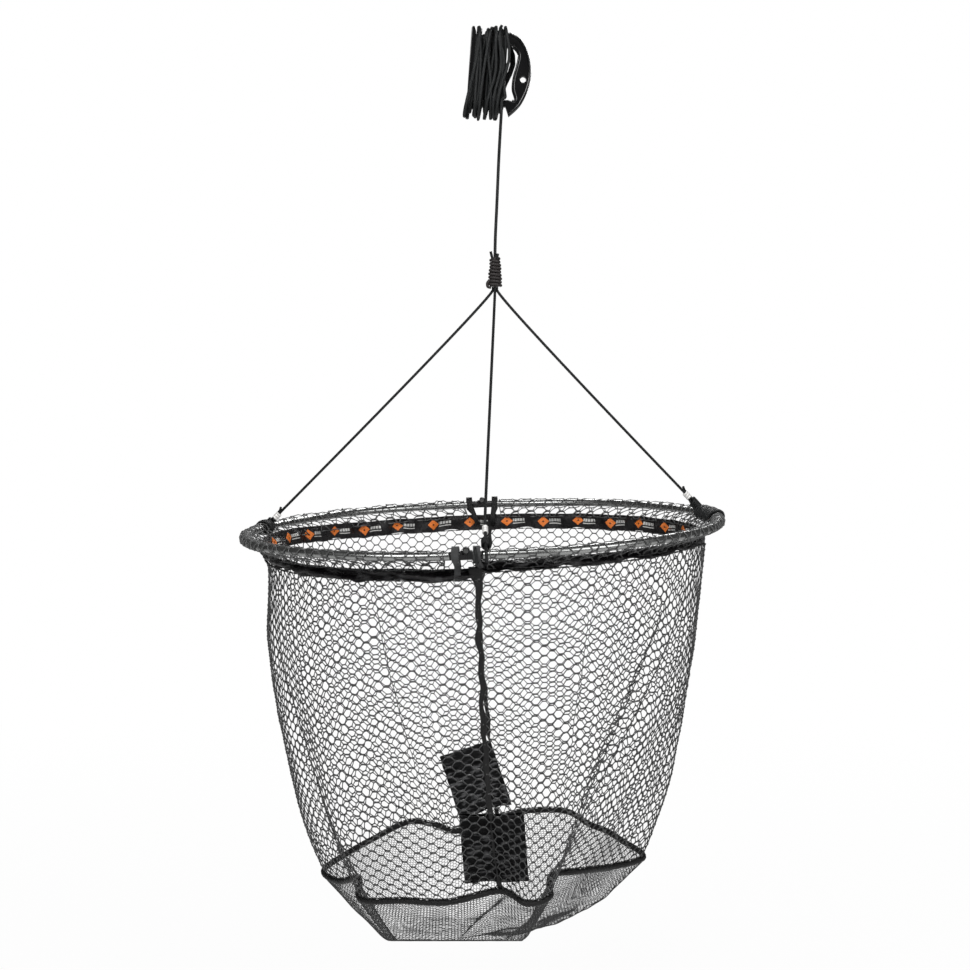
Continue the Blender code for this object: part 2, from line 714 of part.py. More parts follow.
def make_walls():
    """Two panels of hexagonal mesh that meet at the front and back seams."""
    length = math.pi * BAND_RADIUS * 0.85
    pitch = length / WALL_COLUMNS
    height = 0.47
    tall = height / WALL_ROWS
    for name, first in (("left", math.pi / 2), ("right", -math.pi / 2)):
        bm = bmesh.new()
        welded = {}

        def vertex(corner):
            key = (round(corner[0], 5), round(corner[1], 5))
            if key not in welded:
                welded[key] = bm.verts.new(panel_point(first, length, height, corner))
            return welded[key]

        for column in range(WALL_COLUMNS + 1):
            for row in range(WALL_ROWS + 1):
                x = pitch * column
                y = tall * (row + 0.5 * (column % 2))
                point, flank = pitch * 2 / 3, pitch / 3
                cell = [(x - point, y), (x - flank, y - tall / 2), (x + flank, y - tall / 2)]
                cell += [(x + point, y), (x + flank, y + tall / 2), (x - flank, y + tall / 2)]
                cell = clipped(cell, length, height)
                if len(cell) < 3:
                    continue
                hole = inset(cell, WEB_WIDTH / 2)
                cell, hole = with_border_steps(cell, hole, length, height)
                outer = [vertex(p) for p in cell]
                inner = [bm.verts.new(panel_point(first, length, height, p)) for p in hole]
                for i in range(len(cell)):
                    j = (i + 1) % len(cell)
                    bm.faces.new((outer[i], outer[j], inner[j], inner[i]))
        wall = from_bmesh(f"net_wall_{name}", bm, mesh_thread(), smooth=False)
        thick = wall.modifiers.new("thread_thickness", "SOLIDIFY")
        thick.thickness = WALL_THICKNESS
        thick.offset = 0


def with_border_steps(cell, hole, length, height):
    """Extra points along a cell's edges on the panel's border, so that they follow the seams."""
    outer, inner = [], []
    count = len(cell)

    def both_at(i, j, axis, limit):
        return abs(cell[i][axis] - limit) < 1e-6 and abs(cell[j][axis] - limit) < 1e-6

    for i in range(count):
        j = (i + 1) % count
        steps = 1
        if both_at(i, j, 1, height):
            steps = FOOT_STEPS
        elif both_at(i, j, 0, 0) or both_at(i, j, 0, length):
            steps = max(1, round(abs(cell[i][1] - cell[j][1]) / height * WALL_ROWS * SEAM_STEPS))
        for k in range(steps):
            for kept, shape in ((outer, cell), (inner, hole)):
                (ax, ay), (bx, by) = shape[i], shape[j]
                kept.append((ax + (bx - ax) * k / steps, ay + (by - ay) * k / steps))
    return outer, inner


def panel_point(first, length, height, corner):
    """The place in the net of a corner (across, down) of the flat panel that starts at the angle first."""
    u, v = corner
    depth = v / height
    low = first + seam_margin(first, depth, 1)
    high = first + math.pi - seam_margin(first + math.pi, depth, -1)
    return wall_point(low + (high - low) * u / length, depth)


def seam_margin(angle, depth, side):
    """The turn from a seam's middle to the edge of the panel beside it."""
    step = 0.01
    stretch = (wall_point(angle + side * step, depth) - wall_point(angle, depth)).length / step
    return (SEAM_WIDTH / 2 + SEAM_CLEARANCE) / stretch


def make_seams():
    """Tapes over the joints of the two panels."""
    half = SEAM_WIDTH / 2
    for name, angle in (("front", -math.pi / 2), ("back", math.pi / 2)):
        rings = []
        steps = WALL_ROWS * SEAM_STEPS
        for k in range(steps + 1):
            depth = k / steps
            middle = wall_point(angle, depth)
            inward = wall_normal(angle, depth)
            along = (wall_point(angle + 0.01, depth) - wall_point(angle - 0.01, depth)).normalized()
            ring = []
            for x, y in ((-1, -1), (1, -1), (1, 1), (-1, 1)):
                ring.append(middle + along * x * half + inward * y * SEAM_THICKNESS / 2)
            rings.append(ring)
        loft(f"seam_{name}", rings, ribbon_cloth())


def make_foot():
    """The thick foot seam as a closed ring, and the fine mesh base that sags below it."""
    count = 3 * len(RING_ROUTE)
    points = [ring_point(-math.pi / 2 + 2 * math.pi * k / count) for k in range(count)]
    cord("foot_seam", points, RING_RADIUS, ribbon_cloth(), resolution=1, closed=True)

    bm = bmesh.new()
    rings = []
    for (inwards, _), steps in zip(BASE_LEVELS, BASE_STEPS):
        rings.append([bm.verts.new(base_point(k / steps, inwards)) for k in range(steps)])
    for level, sectors in enumerate(BASE_SECTORS):
        for sector in range(sectors):
            make_base_cell(bm, level, sector / sectors, (sector + 1) / sectors, rings)
    hub = bm.verts.new(base_point(0, 1))
    for first, second in zip(rings[-1], rings[-1][1:] + rings[-1][:1]):
        bm.faces.new((first, second, hub))
    base = from_bmesh("net_base", bm, mesh_thread(), smooth=False)
    thick = base.modifiers.new("mesh_thickness", "SOLIDIFY")
    thick.thickness = BASE_THICKNESS
    thick.offset = 1


def base_point(turn, inwards):
    """A point on the upper face of the base: inwards runs from 0 at the foot seam to 1 at the middle."""
    edge = ring_point(-math.pi / 2 + 2 * math.pi * turn) - Vector((0, 0, RING_RADIUS + GAP))
    middle = Vector((*BASE_MIDDLE, HOOP_Z + BASE_FLOOR_Z + BASE_THICKNESS))
    flat = edge.lerp(middle, inwards)
    down = 1
    for (near, high), (far, low) in zip(BASE_LEVELS, BASE_LEVELS[1:]):
        if near <= inwards <= far:
            down = high + (low - high) * (inwards - near) / (far - near)
    return Vector((flat.x, flat.y, edge.z + (middle.z - edge.z) * down))


def make_base_cell(bm, level, first, last, rings):
    """One opening of the base, from the turn first to the turn last, with half of the web on each side."""
    near, far = BASE_LEVELS[level][0], BASE_LEVELS[level + 1][0]
    deep = (base_point(first, near) - base_point(first, far)).length
    margin = (far - near) * WEB_WIDTH / 2 / deep
    border, hole = [], []
    for share, ring, way in ((near + margin, rings[level], 1), (far - margin, rings[level + 1], -1)):
        wide = (base_point(first, share) - base_point(last, share)).length
        side = (last - first) * WEB_WIDTH / 2 / wide
        ticks = range(round(first * len(ring)), round(last * len(ring)) + 1)[::way]
        border += [ring[k % len(ring)] for k in ticks]
        for k in ticks:
            turn = min(max(k / len(ring), first + side), last - side)
            hole.append(bm.verts.new(base_point(turn, share)))
    for i in range(len(border)):
        j = (i + 1) % len(border)
        bm.faces.new((border[i], border[j], hole[j], hole[i]))


POCKETS = {
    # name: (seam angle, depth of the top edge on the wall, room to the wall, shift along it, tilt)
    "front": (-math.pi / 2, 0.745, 0.0017, 0.0, math.radians(3.5)),
    "back": (math.pi / 2, 0.785, 0.0134, 0.029, math.radians(16)),
}


def pocket_frame(name):
    """A pocket's back: X along its top edge, Y into the net, Z up, from the top edge's middle."""
    angle, depth, room, shift, tilt = POCKETS[name]
    top = wall_point(angle, depth)
    foot = wall_point(angle, 0.985)
    up = (top - foot).normalized()
    along = (wall_point(angle + 0.02, depth) - wall_point(angle - 0.02, depth)).normalized()
    along = (along - up * along.dot(up)).normalized()
    inward = up.cross(along).normalized()
    centre = top + inward * room + along * shift
    frame = Matrix((along, inward, up)).transposed().to_4x4()
    middle = Matrix.Translation((0, 0, -POCKET_LENGTH / 2))
    turned = middle @ Matrix.Rotation(tilt, 4, "Y") @ middle.inverted()
    return Matrix.Translation(centre) @ frame @ turned


def flap_frame(name):
    """The frame of a flap's hinge, on the inner top edge of its pocket. Lifting turns it about X."""
    return pocket_frame(name) @ Matrix.Translation((0, POCKET_THICKNESS + GAP, 0))


def curved_plate(x_half, length, thickness, z_steps):
    """Rings of a plate that hangs from z 0 and follows the wall's bend across its width."""
    zs = [-length * k / z_steps for k in range(z_steps + 1)]
    section = [(0, z) for z in zs] + [(thickness, z) for z in reversed(zs)]
    rings = []
    for k in range(PLATE_STEPS + 1):
        x = x_half * (2 * k / PLATE_STEPS - 1)
        bend = x * x / (2 * POCKET_BEND_RADIUS)
        rings.append([Vector((x, bend + y, z)) for y, z in section])
    return rings


def make_pockets():
    """Flat weight pockets sewn to the seams inside the net, each with a flap that lifts."""
    half = POCKET_WIDTH / 2
    for name in POCKETS:
        frame = pocket_frame(name)
        rings = curved_plate(half, POCKET_LENGTH, POCKET_THICKNESS, 2)
        pouch = [[frame @ p for p in ring] for ring in rings]
        loft(f"pocket_{name}", pouch, pocket_cloth())

        hinge = bpy.data.objects.new(f"flap_axis_{name}", None)
        bpy.context.scene.collection.objects.link(hinge)
        hinge.matrix_world = flap_frame(name)
        flap = curved_plate(half, FLAP_LENGTH, FLAP_THICKNESS, 1)
        loft(f"pocket_flap_{name}", flap, pocket_cloth(), hinge)


def main():
    clear_scene()
    fold = bpy.data.objects.new("fold_axis", None)
    bpy.context.scene.collection.objects.link(fold)
    fold.matrix_world = FOLD_FRAME
    make_winder()
    make_main_rope(make_rope_pack())
    make_knot()
    make_bridle(fold)
    make_hoop(fold)
    make_wraps(fold)
    make_ribbon()
    make_walls()
    make_seams()
    make_foot()
    make_pockets()


main()
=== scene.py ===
"""The finished look of a folding drop net: mesh, ribbon, rope, bridle, hoop, winder and studio."""

import math

import bmesh
import bpy
import numpy as np
from bpy.props import FloatProperty, FloatVectorProperty, IntProperty, PointerProperty
from mathutils import Matrix, Vector, noise


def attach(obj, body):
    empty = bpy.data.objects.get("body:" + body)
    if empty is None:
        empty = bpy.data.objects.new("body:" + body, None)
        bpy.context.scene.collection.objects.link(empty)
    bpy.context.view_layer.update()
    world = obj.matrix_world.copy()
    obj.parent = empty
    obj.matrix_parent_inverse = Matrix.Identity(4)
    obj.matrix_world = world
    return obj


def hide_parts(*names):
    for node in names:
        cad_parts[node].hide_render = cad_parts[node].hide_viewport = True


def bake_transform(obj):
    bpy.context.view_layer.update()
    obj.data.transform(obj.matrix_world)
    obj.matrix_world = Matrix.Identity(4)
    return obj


bl_info = {
    "name": "Folding Drop Net",
    "version": (1, 0, 0),
    "blender": (4, 5, 0),
    "location": "View3D > Sidebar > Drop Net",
    "description": "Builds the mesh, cloth, rope and metal of a folding drop net around its frame",
    "category": "Add Mesh",
}

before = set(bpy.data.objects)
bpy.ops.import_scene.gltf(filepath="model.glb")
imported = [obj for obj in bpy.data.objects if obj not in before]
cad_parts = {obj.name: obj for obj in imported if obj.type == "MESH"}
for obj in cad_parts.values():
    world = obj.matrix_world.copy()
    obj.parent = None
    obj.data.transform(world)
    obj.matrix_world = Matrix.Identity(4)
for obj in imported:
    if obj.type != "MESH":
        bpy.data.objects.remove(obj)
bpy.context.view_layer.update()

TAU = 2 * math.pi
SIDES = {"left": -1, "right": 1}
ENDS = {"front": -1, "back": 1}
PANEL_STARTS = {"left": math.pi / 2, "right": -math.pi / 2}
SEAM_ANGLES = {"front": -math.pi / 2, "back": math.pi / 2}

# Hoop, with the measures of the part's solids
HOOP_RADIUS = 0.3435
HOOP_WIDENING = 0.0062  # how far the tube's ends spread past the circle of the band
WIDENING_FADE = 0.012  # over this length inwards the spread dies away
TUBE_RADIUS = 0.0058
HOOP_Z = -0.662
HOOP_LEAN = math.radians(2.1)
HOOP_TURN = math.radians(1.6)
HINGE_OFFSET = -0.010
HINGE_ANGLE = math.pi / 2 + math.atan2(-HINGE_OFFSET, HOOP_RADIUS)
HINGE_REACH = 0.075  # a soft piece's share for its half hoop grows from nothing at the hinge line to all at this distance
COLLAR_END = 0.0197
HOOP_WAYS = Matrix.Rotation(-HOOP_TURN, 4, "Z") @ Matrix.Rotation(-HOOP_LEAN, 4, "Y")
HOOP_FRAME = Matrix.Translation((0, 0, HOOP_Z)) @ HOOP_WAYS
HOOP_AXES = np.array(HOOP_FRAME.to_3x3())
HOOP_MIDDLE = np.array(HOOP_FRAME.translation)

# Ribbon band and what hangs it on the tube
BAND_RADIUS = 0.3266
BAND_REACH = BAND_RADIUS - HOOP_RADIUS
BAND_DROP = 0.016
BAND_HEIGHT = 0.0245
BAND_THICKNESS = 0.0011
BAND_CRUSHED = {"left": (0.36, 0.0030), "right": (0.40, -0.0062)}  # share of height lost in front, top's fall
MARK_PITCH = 0.062
LOZENGE = (0.0100, 0.0084)  # half its width, half its height
SLEEVE_START = 0.0295
SLEEVE_LIFT = {
    ("front", "left"): 0.12,
    ("front", "right"): 0.10,
    ("back", "left"): 0.36,
    ("back", "right"): 0.10,
}
SLEEVE_ROWS = 4
TABS = {
    # end, side: how far the foot strays outwards, how far towards the hinge, height of the foot
    ("front", "left"): (0.0, 0.0, -0.035),
    ("front", "right"): (0.0, -0.0080, -0.018),
    ("back", "left"): (-0.0010, 0.0125, -0.033),
    ("back", "right"): (-0.0010, 0.0050, -0.033),
}
TAB_OFFSET = {"front": 0.0135, "back": 0.021}
TAB_ROOM = {"front": 0.0052, "back": 0.0036}
TAB_WIDTH = 0.0092
TAB_THICKNESS = 0.0021
TAB_GAP = 0.0004
SIDE_LEG_ANGLES = {"left": math.radians(163.6), "right": math.radians(16.4)}
FRONT_LEG_OFFSET = 0.0255

# Net
RING_RADIUS = 0.004
FOOT_CLEARANCE = 0.0009
FOOT_STEPS = 720
STITCH_PITCH = 0.0085
SEAM_WIDTH = 0.0085
SEAM_THICKNESS = 0.0014
SEAM_LENGTH = 0.46
BASE_FLOOR_Z = -0.630
BASE_MIDDLE = (-0.035, 0.0)
BASE_THREAD_RADIUS = 0.00034
UNDERSIDE_SLOPE = 0.3574  # the front of the base's underside rises so, and looks level to the camera
WALL_RAISED = {"left": 0.014, "right": 0.037}  # how far the wall rises with the crushed ribbon in front
WALL_TURNED_Z = (-1.16, -0.70)  # between these heights the wall's share for its half hoop grows from nothing to all
# The thick foot seam, from the front seam anticlockwise, below the hoop's middle
RING_ROUTE = [
    (0.025, -0.230, -0.479),
    (0.061, -0.258, -0.487),
    (0.093, -0.245, -0.482),
    (0.097, -0.179, -0.474),
    (0.143, -0.143, -0.478),
    (0.190, -0.080, -0.492),
    (0.240, -0.038, -0.490),
    (0.215, 0.051, -0.492),
    (0.196, 0.120, -0.497),
    (0.170, 0.165, -0.498),
    (0.136, 0.210, -0.490),
    (0.080, 0.232, -0.495),
    (0.024, 0.222, -0.503),
    (-0.036, 0.190, -0.517),
    (-0.080, 0.208, -0.511),
    (-0.122, 0.205, -0.507),
    (-0.174, 0.145, -0.517),
    (-0.212, 0.065, -0.518),
    (-0.238, -0.012, -0.519),
    (-0.212, -0.066, -0.518),
    (-0.176, -0.129, -0.4950),
    (-0.169, -0.190, -0.5045),
    (-0.108, -0.227, -0.494),
    (-0.045, -0.244, -0.490),
]
FOLDS = [
    # panel, place round it at the top, drift down it, width and strength, as shares of the panel
    ("right", 0.33, -0.17, 0.024, 1.05),
    ("right", 0.385, -0.19, 0.018, 0.75),
    ("right", 0.52, -0.10, 0.016, 0.5),
    ("left", 0.60, 0.10, 0.018, 0.45),
    ("left", 0.22, -0.06, 0.020, 0.6),
    ("right", 0.80, 0.05, 0.018, 0.6),
]

# Rope, knot and bridle
KNOT = (0.019, 0.0, -0.266)
KNOT_HEIGHT = 0.043
KNOT_TOP_RADIUS = 0.0078
KNOT_FOOT_RADIUS = 0.011
KNOT_CORD_RADIUS = 0.0021
KNOT_WRAPS = 8
KNOT_PITCH = 0.0049
LEG_SPREAD = {"left": (-0.0028, 0.0008), "right": (0.0028, 0.0008), "front": (0.0, -0.0029)}
LEG_GAP = 0.0003
LEG_LAY = 0.0045
LEG_SECTION = 12
LEG_STIFF_LENGTH = 0.012  # the leg leaves the knot and the ferrule straight for about this long
LEG_END_ROUTE = [(-0.002, 0.0022), (0.004, 0.0026), (0.009, 0.0050)]  # rise above the ferrule, way aside
EYE_RISE = {"left": 0.019, "right": 0.031, "front": 0.0350}  # from the tube's middle to the ferrule
EYE_KNOT = {"left": (0.0085, 1.6), "right": (0.0090, 5.4), "front": (0.0140, 3.2)}  # first rise, turns
FERRULE_LENGTH = 0.011
HITCHES = {
    # half of the hoop, way round it, turns, pitch, whether a capped end of cord lies beside it
    "left": ("left", 1, 3.4, 0.0043, True),
    "right": ("right", -1, 18.4, 0.0042, True),
    "front": ("right", -1, 1.6, 0.0042, False),
}
HITCH_GAP = 0.0050
CAP_REACH = (0.004, 0.013)
CAP_OUTWARD = 0.0125
CAP_UP = (0.0035, 0.0015)
KNOT_ENDS = {
    "left": [(0.0165, -0.003, -0.272), (0.0140, -0.004, -0.264), (0.0126, -0.004, -0.258)],
    "right": [(0.0210, -0.002, -0.270), (0.0226, -0.003, -0.264), (0.0232, -0.003, -0.261)],
}
KNOT_TAIL = [
    (0.0125, -0.004, -0.300),
    (0.0092, -0.006, -0.3015),
    (0.0076, -0.006, -0.3055),
    (0.0088, -0.005, -0.3095),
    (0.0130, -0.004, -0.3105),
]
ROPE_LAY = 0.0055
ROPE_END_ROUTE = [(0.0262, -0.004, 0.0565), (0.0268, -0.005, 0.0620), (0.0290, -0.006, 0.0660)]
WRAP_STEPS = 26  # points in each turn of a wrap round the tube or the eye
ROPE_START = (0.0284, -0.0170, -0.0400)  # where the rope leaves the winder's last turn
ROPE_ROUTE = [
    ROPE_START,
    (0.0282, -0.0169, -0.052),
    (0.0278, -0.0164, -0.062),
    (0.0268, -0.0125, -0.080),
    (0.0256, -0.0055, -0.102),
    (0.0241, -0.0008, -0.132),
    (0.0219, 0.0, -0.185),
    (0.0196, 0.0, -0.2357),
    (0.0190, 0.0, -0.2657),
]

# Winder, in its own plane (x, z)
HANG_HOLE = (0.0595, -0.011)
HANG_HOLE_RADIUS = 0.0043
FRAME_FOOT = [(-0.024, -0.066), (-0.0215, -0.067), (-0.019, -0.066), (-0.0172, -0.050), (0.034, -0.050)]
HANDLE_ROUTE = [
    # the D handle's outer edge, from its foot round the belly to its brow
    (0.0385, -0.064),
    (0.0560, -0.0470),
    (0.0680, -0.0215),
    (0.0712, 0.0010),
    (0.0675, 0.0250),
    (0.0560, 0.0465),
    (0.0405, 0.056),
]
FRAME_BROW = [
    (0.0375, 0.0545),
    (0.035, 0.050),
    (-0.008, 0.050),
    (-0.0085, 0.058),
    (-0.0105, 0.0650),
    (-0.0130, 0.0655),
    (-0.0148, 0.0625),
]
SLOT_ROUTE = [
    # the handle's inner edge, from its foot to its brow
    (0.038, -0.040),
    (0.0465, -0.0425),
    (0.0490, -0.0375),
    (0.0455, -0.024),
    (0.0470, -0.0080),
    (0.051, 0.006),
    (0.0540, 0.0190),
    (0.0535, 0.0270),
    (0.0490, 0.0335),
    (0.040, 0.040),
]
FRAME_WINDOW = [(-0.0075, 0.040), (-0.014, -0.040)]  # the window's two corners at the end bar
RIM_INSET = 0.0020
PLATE_HALF = 0.0060
PLATE_EDGE = 0.0012
SADDLE_Z = 0.0440
WINDING_LAYERS = [
    # distance of the rope from the saddle's middle, turns, way along the saddle, how messy it lies
    (0.0084, 9, 1, 0.0012),
    (0.0129, 8, -1, 0.0026),
    (0.0170, 9.36, 1, 0.0072),
]
WINDING_STEPS = 28
BELLY_DROP = 0.0060  # how far the outer layer hangs below the lower saddle bar in its middle
WINDING_ENDS = (-0.0074, -0.0186, 0.0336)  # left end at the top, left end at the foot, right end
BULGES = [
    # turn of the outer layer, how far it strays to the right over the slot, height of its belly
    (4.6, 0.0080, -0.008),
    (5.6, 0.0150, 0.002),
    (6.6, 0.0190, 0.010),
    (7.6, 0.0205, 0.018),
    (8.6, 0.0205, 0.022),
]

# Pockets
POCKETS = {
    # name: (seam angle, depth of the top edge on the wall, room to the wall, shift along it, tilt)
    "front": (-math.pi / 2, 0.745, 0.0017, 0.0, math.radians(3.5)),
    "back": (math.pi / 2, 0.785, 0.0134, 0.0345, math.radians(16)),
}
POCKET_LENGTH = 0.106
POUCH_LENGTH = {"front": 0.113, "back": 0.106}
POCKET_BEND_RADIUS = 0.30
FLAP_LENGTH = 0.0250
FLAP_DEPTH = 0.0064

# Camera and floor
EYE = (0.0044, -2.55, -0.382)
EYE_PITCH = math.radians(4.9)
LENS_MM = 64.2
FLOOR_Z = -1.52
FLOOR_HALF = 14.0
SHINE_NEAR = 0.90  # share of plain white that the camera sees in the floor below the net
SHINE_REACH = (0.7, 3.2)  # between these distances the floor turns fully white


# Sizes and colours a maker would change

def length(name, text, default):
    return FloatProperty(name=name, description=text, default=default, unit="LENGTH")


def number(name, text, default):
    return IntProperty(name=name, description=text, default=default)


def colour(name, default, text):
    limits = {"size": 3, "min": 0, "max": 1}
    return FloatVectorProperty(name=name, description=text, subtype="COLOR", default=default, **limits)


class DropNetSizes(bpy.types.PropertyGroup):
    """Sizes of the soft pieces"""

    rope: length("Rope", "Rope diameter", 0.0044)
    leg: length("Bridle leg", "Bridle cord diameter", 0.0040)
    thread: length("Mesh thread", "Thread diameter of the wall mesh", 0.0017)
    columns: number("Mesh columns", "Columns of cells in each half of the wall", 78)
    rows: number("Mesh rows", "Rows of cells down the wall", 31)
    base_cell: length("Base cell", "Cell size of the base mesh", 0.0050)
    pocket: length("Pocket width", "Width of a weight pocket", 0.088)


class DropNetColours(bpy.types.PropertyGroup):
    """Colours of the finishes"""

    plastic: colour("Winder", (0.0022, 0.0022, 0.0026), "Moulded plastic")
    hinge: colour("Hinges", (0.004, 0.004, 0.0045), "Matt plastic of the hinges")
    metal: colour("Hoop", (0.30, 0.305, 0.30), "Metal tube of the hoop")
    ferrule: colour("Ferrules", (0.86, 0.85, 0.83), "Soft pale metal of the ferrules")
    rope: colour("Rope", (0.0030, 0.0040, 0.0043), "Braided rope")
    knot: colour("Knot", (0.022, 0.018, 0.0175), "Whipping of the knot")
    mesh: colour("Mesh", (0.046, 0.0465, 0.047), "Coated mesh")
    sleeve: colour("Sleeve", (0.10, 0.101, 0.101), "Mesh that is stretched over the tube")
    ribbon: colour("Ribbon", (0.0030, 0.0024, 0.0030), "Satin ribbon")
    lozenge: colour("Lozenges", (0.80, 0.20, 0.03), "Woven lozenges on the ribbon")
    bars: colour("Bars", (0.62, 0.62, 0.60), "Woven bars on the ribbon")
    webbing: colour("Webbing", (0.055, 0.056, 0.057), "Webbing tabs")
    tape: colour("Tape", (0.0025, 0.0025, 0.0027), "Seam tapes")
    pocket: colour("Pockets", (0.0022, 0.0022, 0.0025), "Cloth of the pockets")


# Small sums

def smooth_share(x):
    x = np.clip(x, 0, 1)
    return x * x * (3 - 2 * x)


def bell(x, width):
    return np.exp(-((x / width) ** 2))


def unit(v):
    return v / np.maximum(np.linalg.norm(v, axis=-1, keepdims=True), 1e-12)


def turning(steps, count=None):
    """Angles at even steps of a turn: one whole turn, or count of them."""
    return TAU * np.arange(count or steps) / steps


def together(*parts):
    """Points from their coordinates, which broadcast against each other."""
    return np.stack(np.broadcast_arrays(*parts), axis=-1)


def both_faces(first, second):
    """The section of a thin piece: across one face and back over the other."""
    return np.concatenate([first, second[:, ::-1]], axis=1)


def across(side, over, x, y):
    """Offsets from a path, from places x and y in its section along the two directions."""
    return x[..., None] * side[:, None] + y[..., None] * over[:, None]


def squared(v, power):
    """A sine or cosine pushed towards a square wave."""
    return np.sign(v) * np.abs(v) ** power


def apart(angle, other):
    """The angle between two bearings, without its sign."""
    return np.abs(np.angle(np.exp(1j * (np.asarray(angle, float) - other))))


def travel(points):
    """Distances along a path."""
    return np.concatenate([[0], np.cumsum(np.linalg.norm(np.diff(points, axis=0), axis=1))])


def spaced(points, step):
    """The same path with evenly spaced points."""
    along = travel(points)
    count = max(2, int(round(along[-1] / step)) + 1)
    at = np.linspace(0, along[-1], count)
    return np.stack([np.interp(at, along, points[:, k]) for k in range(3)], axis=1)


def through(points, at=None, closed=False, count=None):
    """The smooth curve through points, at places counted in steps between them or at count even places."""
    table = np.asarray(points, float)
    total = len(table)
    at = np.linspace(0, total - 1, count) if count else np.asarray(at, float)
    i = np.floor(at).astype(int)
    t = (at - i)[..., None]

    def pick(k):
        return table[k % total] if closed else table[np.clip(k, 0, total - 1)]

    a, b, c, d = (pick(i + k) for k in (-1, 0, 1, 2))
    return 0.5 * (2 * b + (c - a) * t + (2 * a - 5 * b + 4 * c - d) * t**2 + (3 * b - a - 3 * c + d) * t**3)


def axes_along(points, first=(0.1, 0.2, 0.97)):
    """For each point two directions across the path, carried along it without twist."""
    ways = unit(np.gradient(points, axis=0))
    side = np.array(first, float)
    sides = np.empty_like(points)
    for i, way in enumerate(ways):
        side = side - way * (side @ way)
        side = side / np.linalg.norm(side)
        sides[i] = side
    return sides, np.cross(ways, sides)


def ripple(points, size, seed):
    """A smooth random value from about -1 to 1 at each point, with features of that size."""
    shift = Vector((seed * 7.31, seed * 3.17, seed * 5.71))
    flat = np.asarray(points, float).reshape(-1, 3) / size
    values = np.array([noise.noise(Vector(p) + shift) for p in flat])
    return values.reshape(np.shape(points)[:-1])


# Places on the hoop and on the net

def on_hoop(angle, outward=0.0, up=0.0):
    """World points beside the hoop's centre line. The angle runs anticlockwise from the right side."""
    angle, outward, up = np.broadcast_arrays(*(np.asarray(v, float) for v in (angle, outward, up)))
    radius = HOOP_RADIUS + outward
    wide = radius + HOOP_WIDENING * np.clip(1 + outward / WIDENING_FADE, 0, 1)
    local = np.stack([wide * np.cos(angle), radius * np.sin(angle), up], axis=-1)
    return local @ HOOP_AXES.T + HOOP_MIDDLE


def from_hinge(side, end, distance):
    """The hoop angle at a distance from a hinge, on the side -1 or 1 and at the end -1 or 1."""
    turn = HINGE_ANGLE - side * distance / HOOP_RADIUS
    return end * turn if side > 0 or end > 0 else TAU - turn


def on_foot(angle):
    steps = len(RING_ROUTE) * (np.asarray(angle, float) + math.pi / 2) / TAU
    return through(RING_ROUTE, steps, closed=True) + (0, 0, HOOP_Z)


def tuck(angle, depth):
    """How far the left end of the net and its ribbon hangs inwards, most at the ribbon's lower edge."""
    most, spread = 0.011, 0.6
    above = np.clip(1 + 18 * depth, 0, 1)
    return most * bell(apart(angle, math.pi), spread) * above * (1 - smooth_share(depth / 0.25))


def left_lift(angle):
    """How far the ribbon is drawn up at the left end of the hoop."""
    most, spread = 0.0095, 0.55
    return most * bell(apart(angle, math.radians(168)), spread)


def crumple(angle):
    """How far the ribbon is crushed together, from 0 at the back to 1 along the front."""
    return 1 - smooth_share((apart(angle, -math.pi / 2) - math.radians(62)) / math.radians(40))


def on_wall(angle, depth):
    """World points of the net's wall: depth runs from 0 under the ribbon to 1 on the foot seam."""
    angle, depth = np.broadcast_arrays(np.asarray(angle, float), np.asarray(depth, float))
    head = on_hoop(angle, BAND_REACH, -(BAND_DROP + BAND_HEIGHT))
    foot = on_foot(angle) + (0, 0, RING_RADIUS + FOOT_CLEARANCE)
    drawn_in = (0.45 * depth + 0.55 * np.maximum(depth, 0) ** 3.7)[..., None]
    flat = head + (foot - head) * drawn_in
    flat[..., 2] = head[..., 2] + (foot[..., 2] - head[..., 2]) * depth
    flat[..., 0] += tuck(angle, depth)
    return flat


def wall_normal(angle, depth):
    """Pointing into the net."""
    step = 0.01
    sideways = on_wall(angle + step, depth) - on_wall(angle - step, depth)
    down = on_wall(angle, np.minimum(1, depth + step)) - on_wall(angle, np.maximum(0, depth - step))
    return unit(np.cross(sideways, down))


def seam_lean(name, depth):
    """How far a seam and the panel edges under it stray round the net, in metres, the angle's way."""
    if name == "front":
        return np.interp(depth, (0, 0.25, 0.4, 0.65, 1), (0.0026, 0.0030, 0.0028, 0.0040, 0))
    depths = (0.05, 0.12, 0.21, 0.28, 0.4, 0.65, 1)
    return np.interp(depth, depths, (-0.002, 0.008, 0.020, 0.0205, 0.0175, 0.01, 0))


# Mesh building

def placed(name, data):
    made = bpy.data.objects.new(name, data)
    bpy.context.scene.collection.objects.link(made)
    return made


def turn_outwards(mesh, weld=0.0):
    """Turns the faces outwards, once points nearer to each other than weld are joined."""
    bm = bmesh.new()
    bm.from_mesh(mesh)
    if weld:
        bmesh.ops.remove_doubles(bm, verts=bm.verts, dist=weld)
    bmesh.ops.recalc_face_normals(bm, faces=bm.faces)
    bm.to_mesh(mesh)
    bm.free()


def finished(name, verts, faces, finish, marks=None, turn_out=True):
    """A mesh object. marks gives each vertex a place (u, v), kept as a UV map in metres."""
    data = bpy.data.meshes.new(name)
    data.from_pydata([tuple(v) for v in verts], [], faces)
    if marks is not None:
        layer = data.uv_layers.new(name="cloth_metres")
        picks = np.empty(len(data.loops), int)
        data.loops.foreach_get("vertex_index", picks)
        layer.data.foreach_set("uv", np.asarray(marks, np.float32)[picks].ravel())
    if turn_out:
        turn_outwards(data)
    data.shade_smooth()
    data.materials.append(finish)
    return placed(name, data)


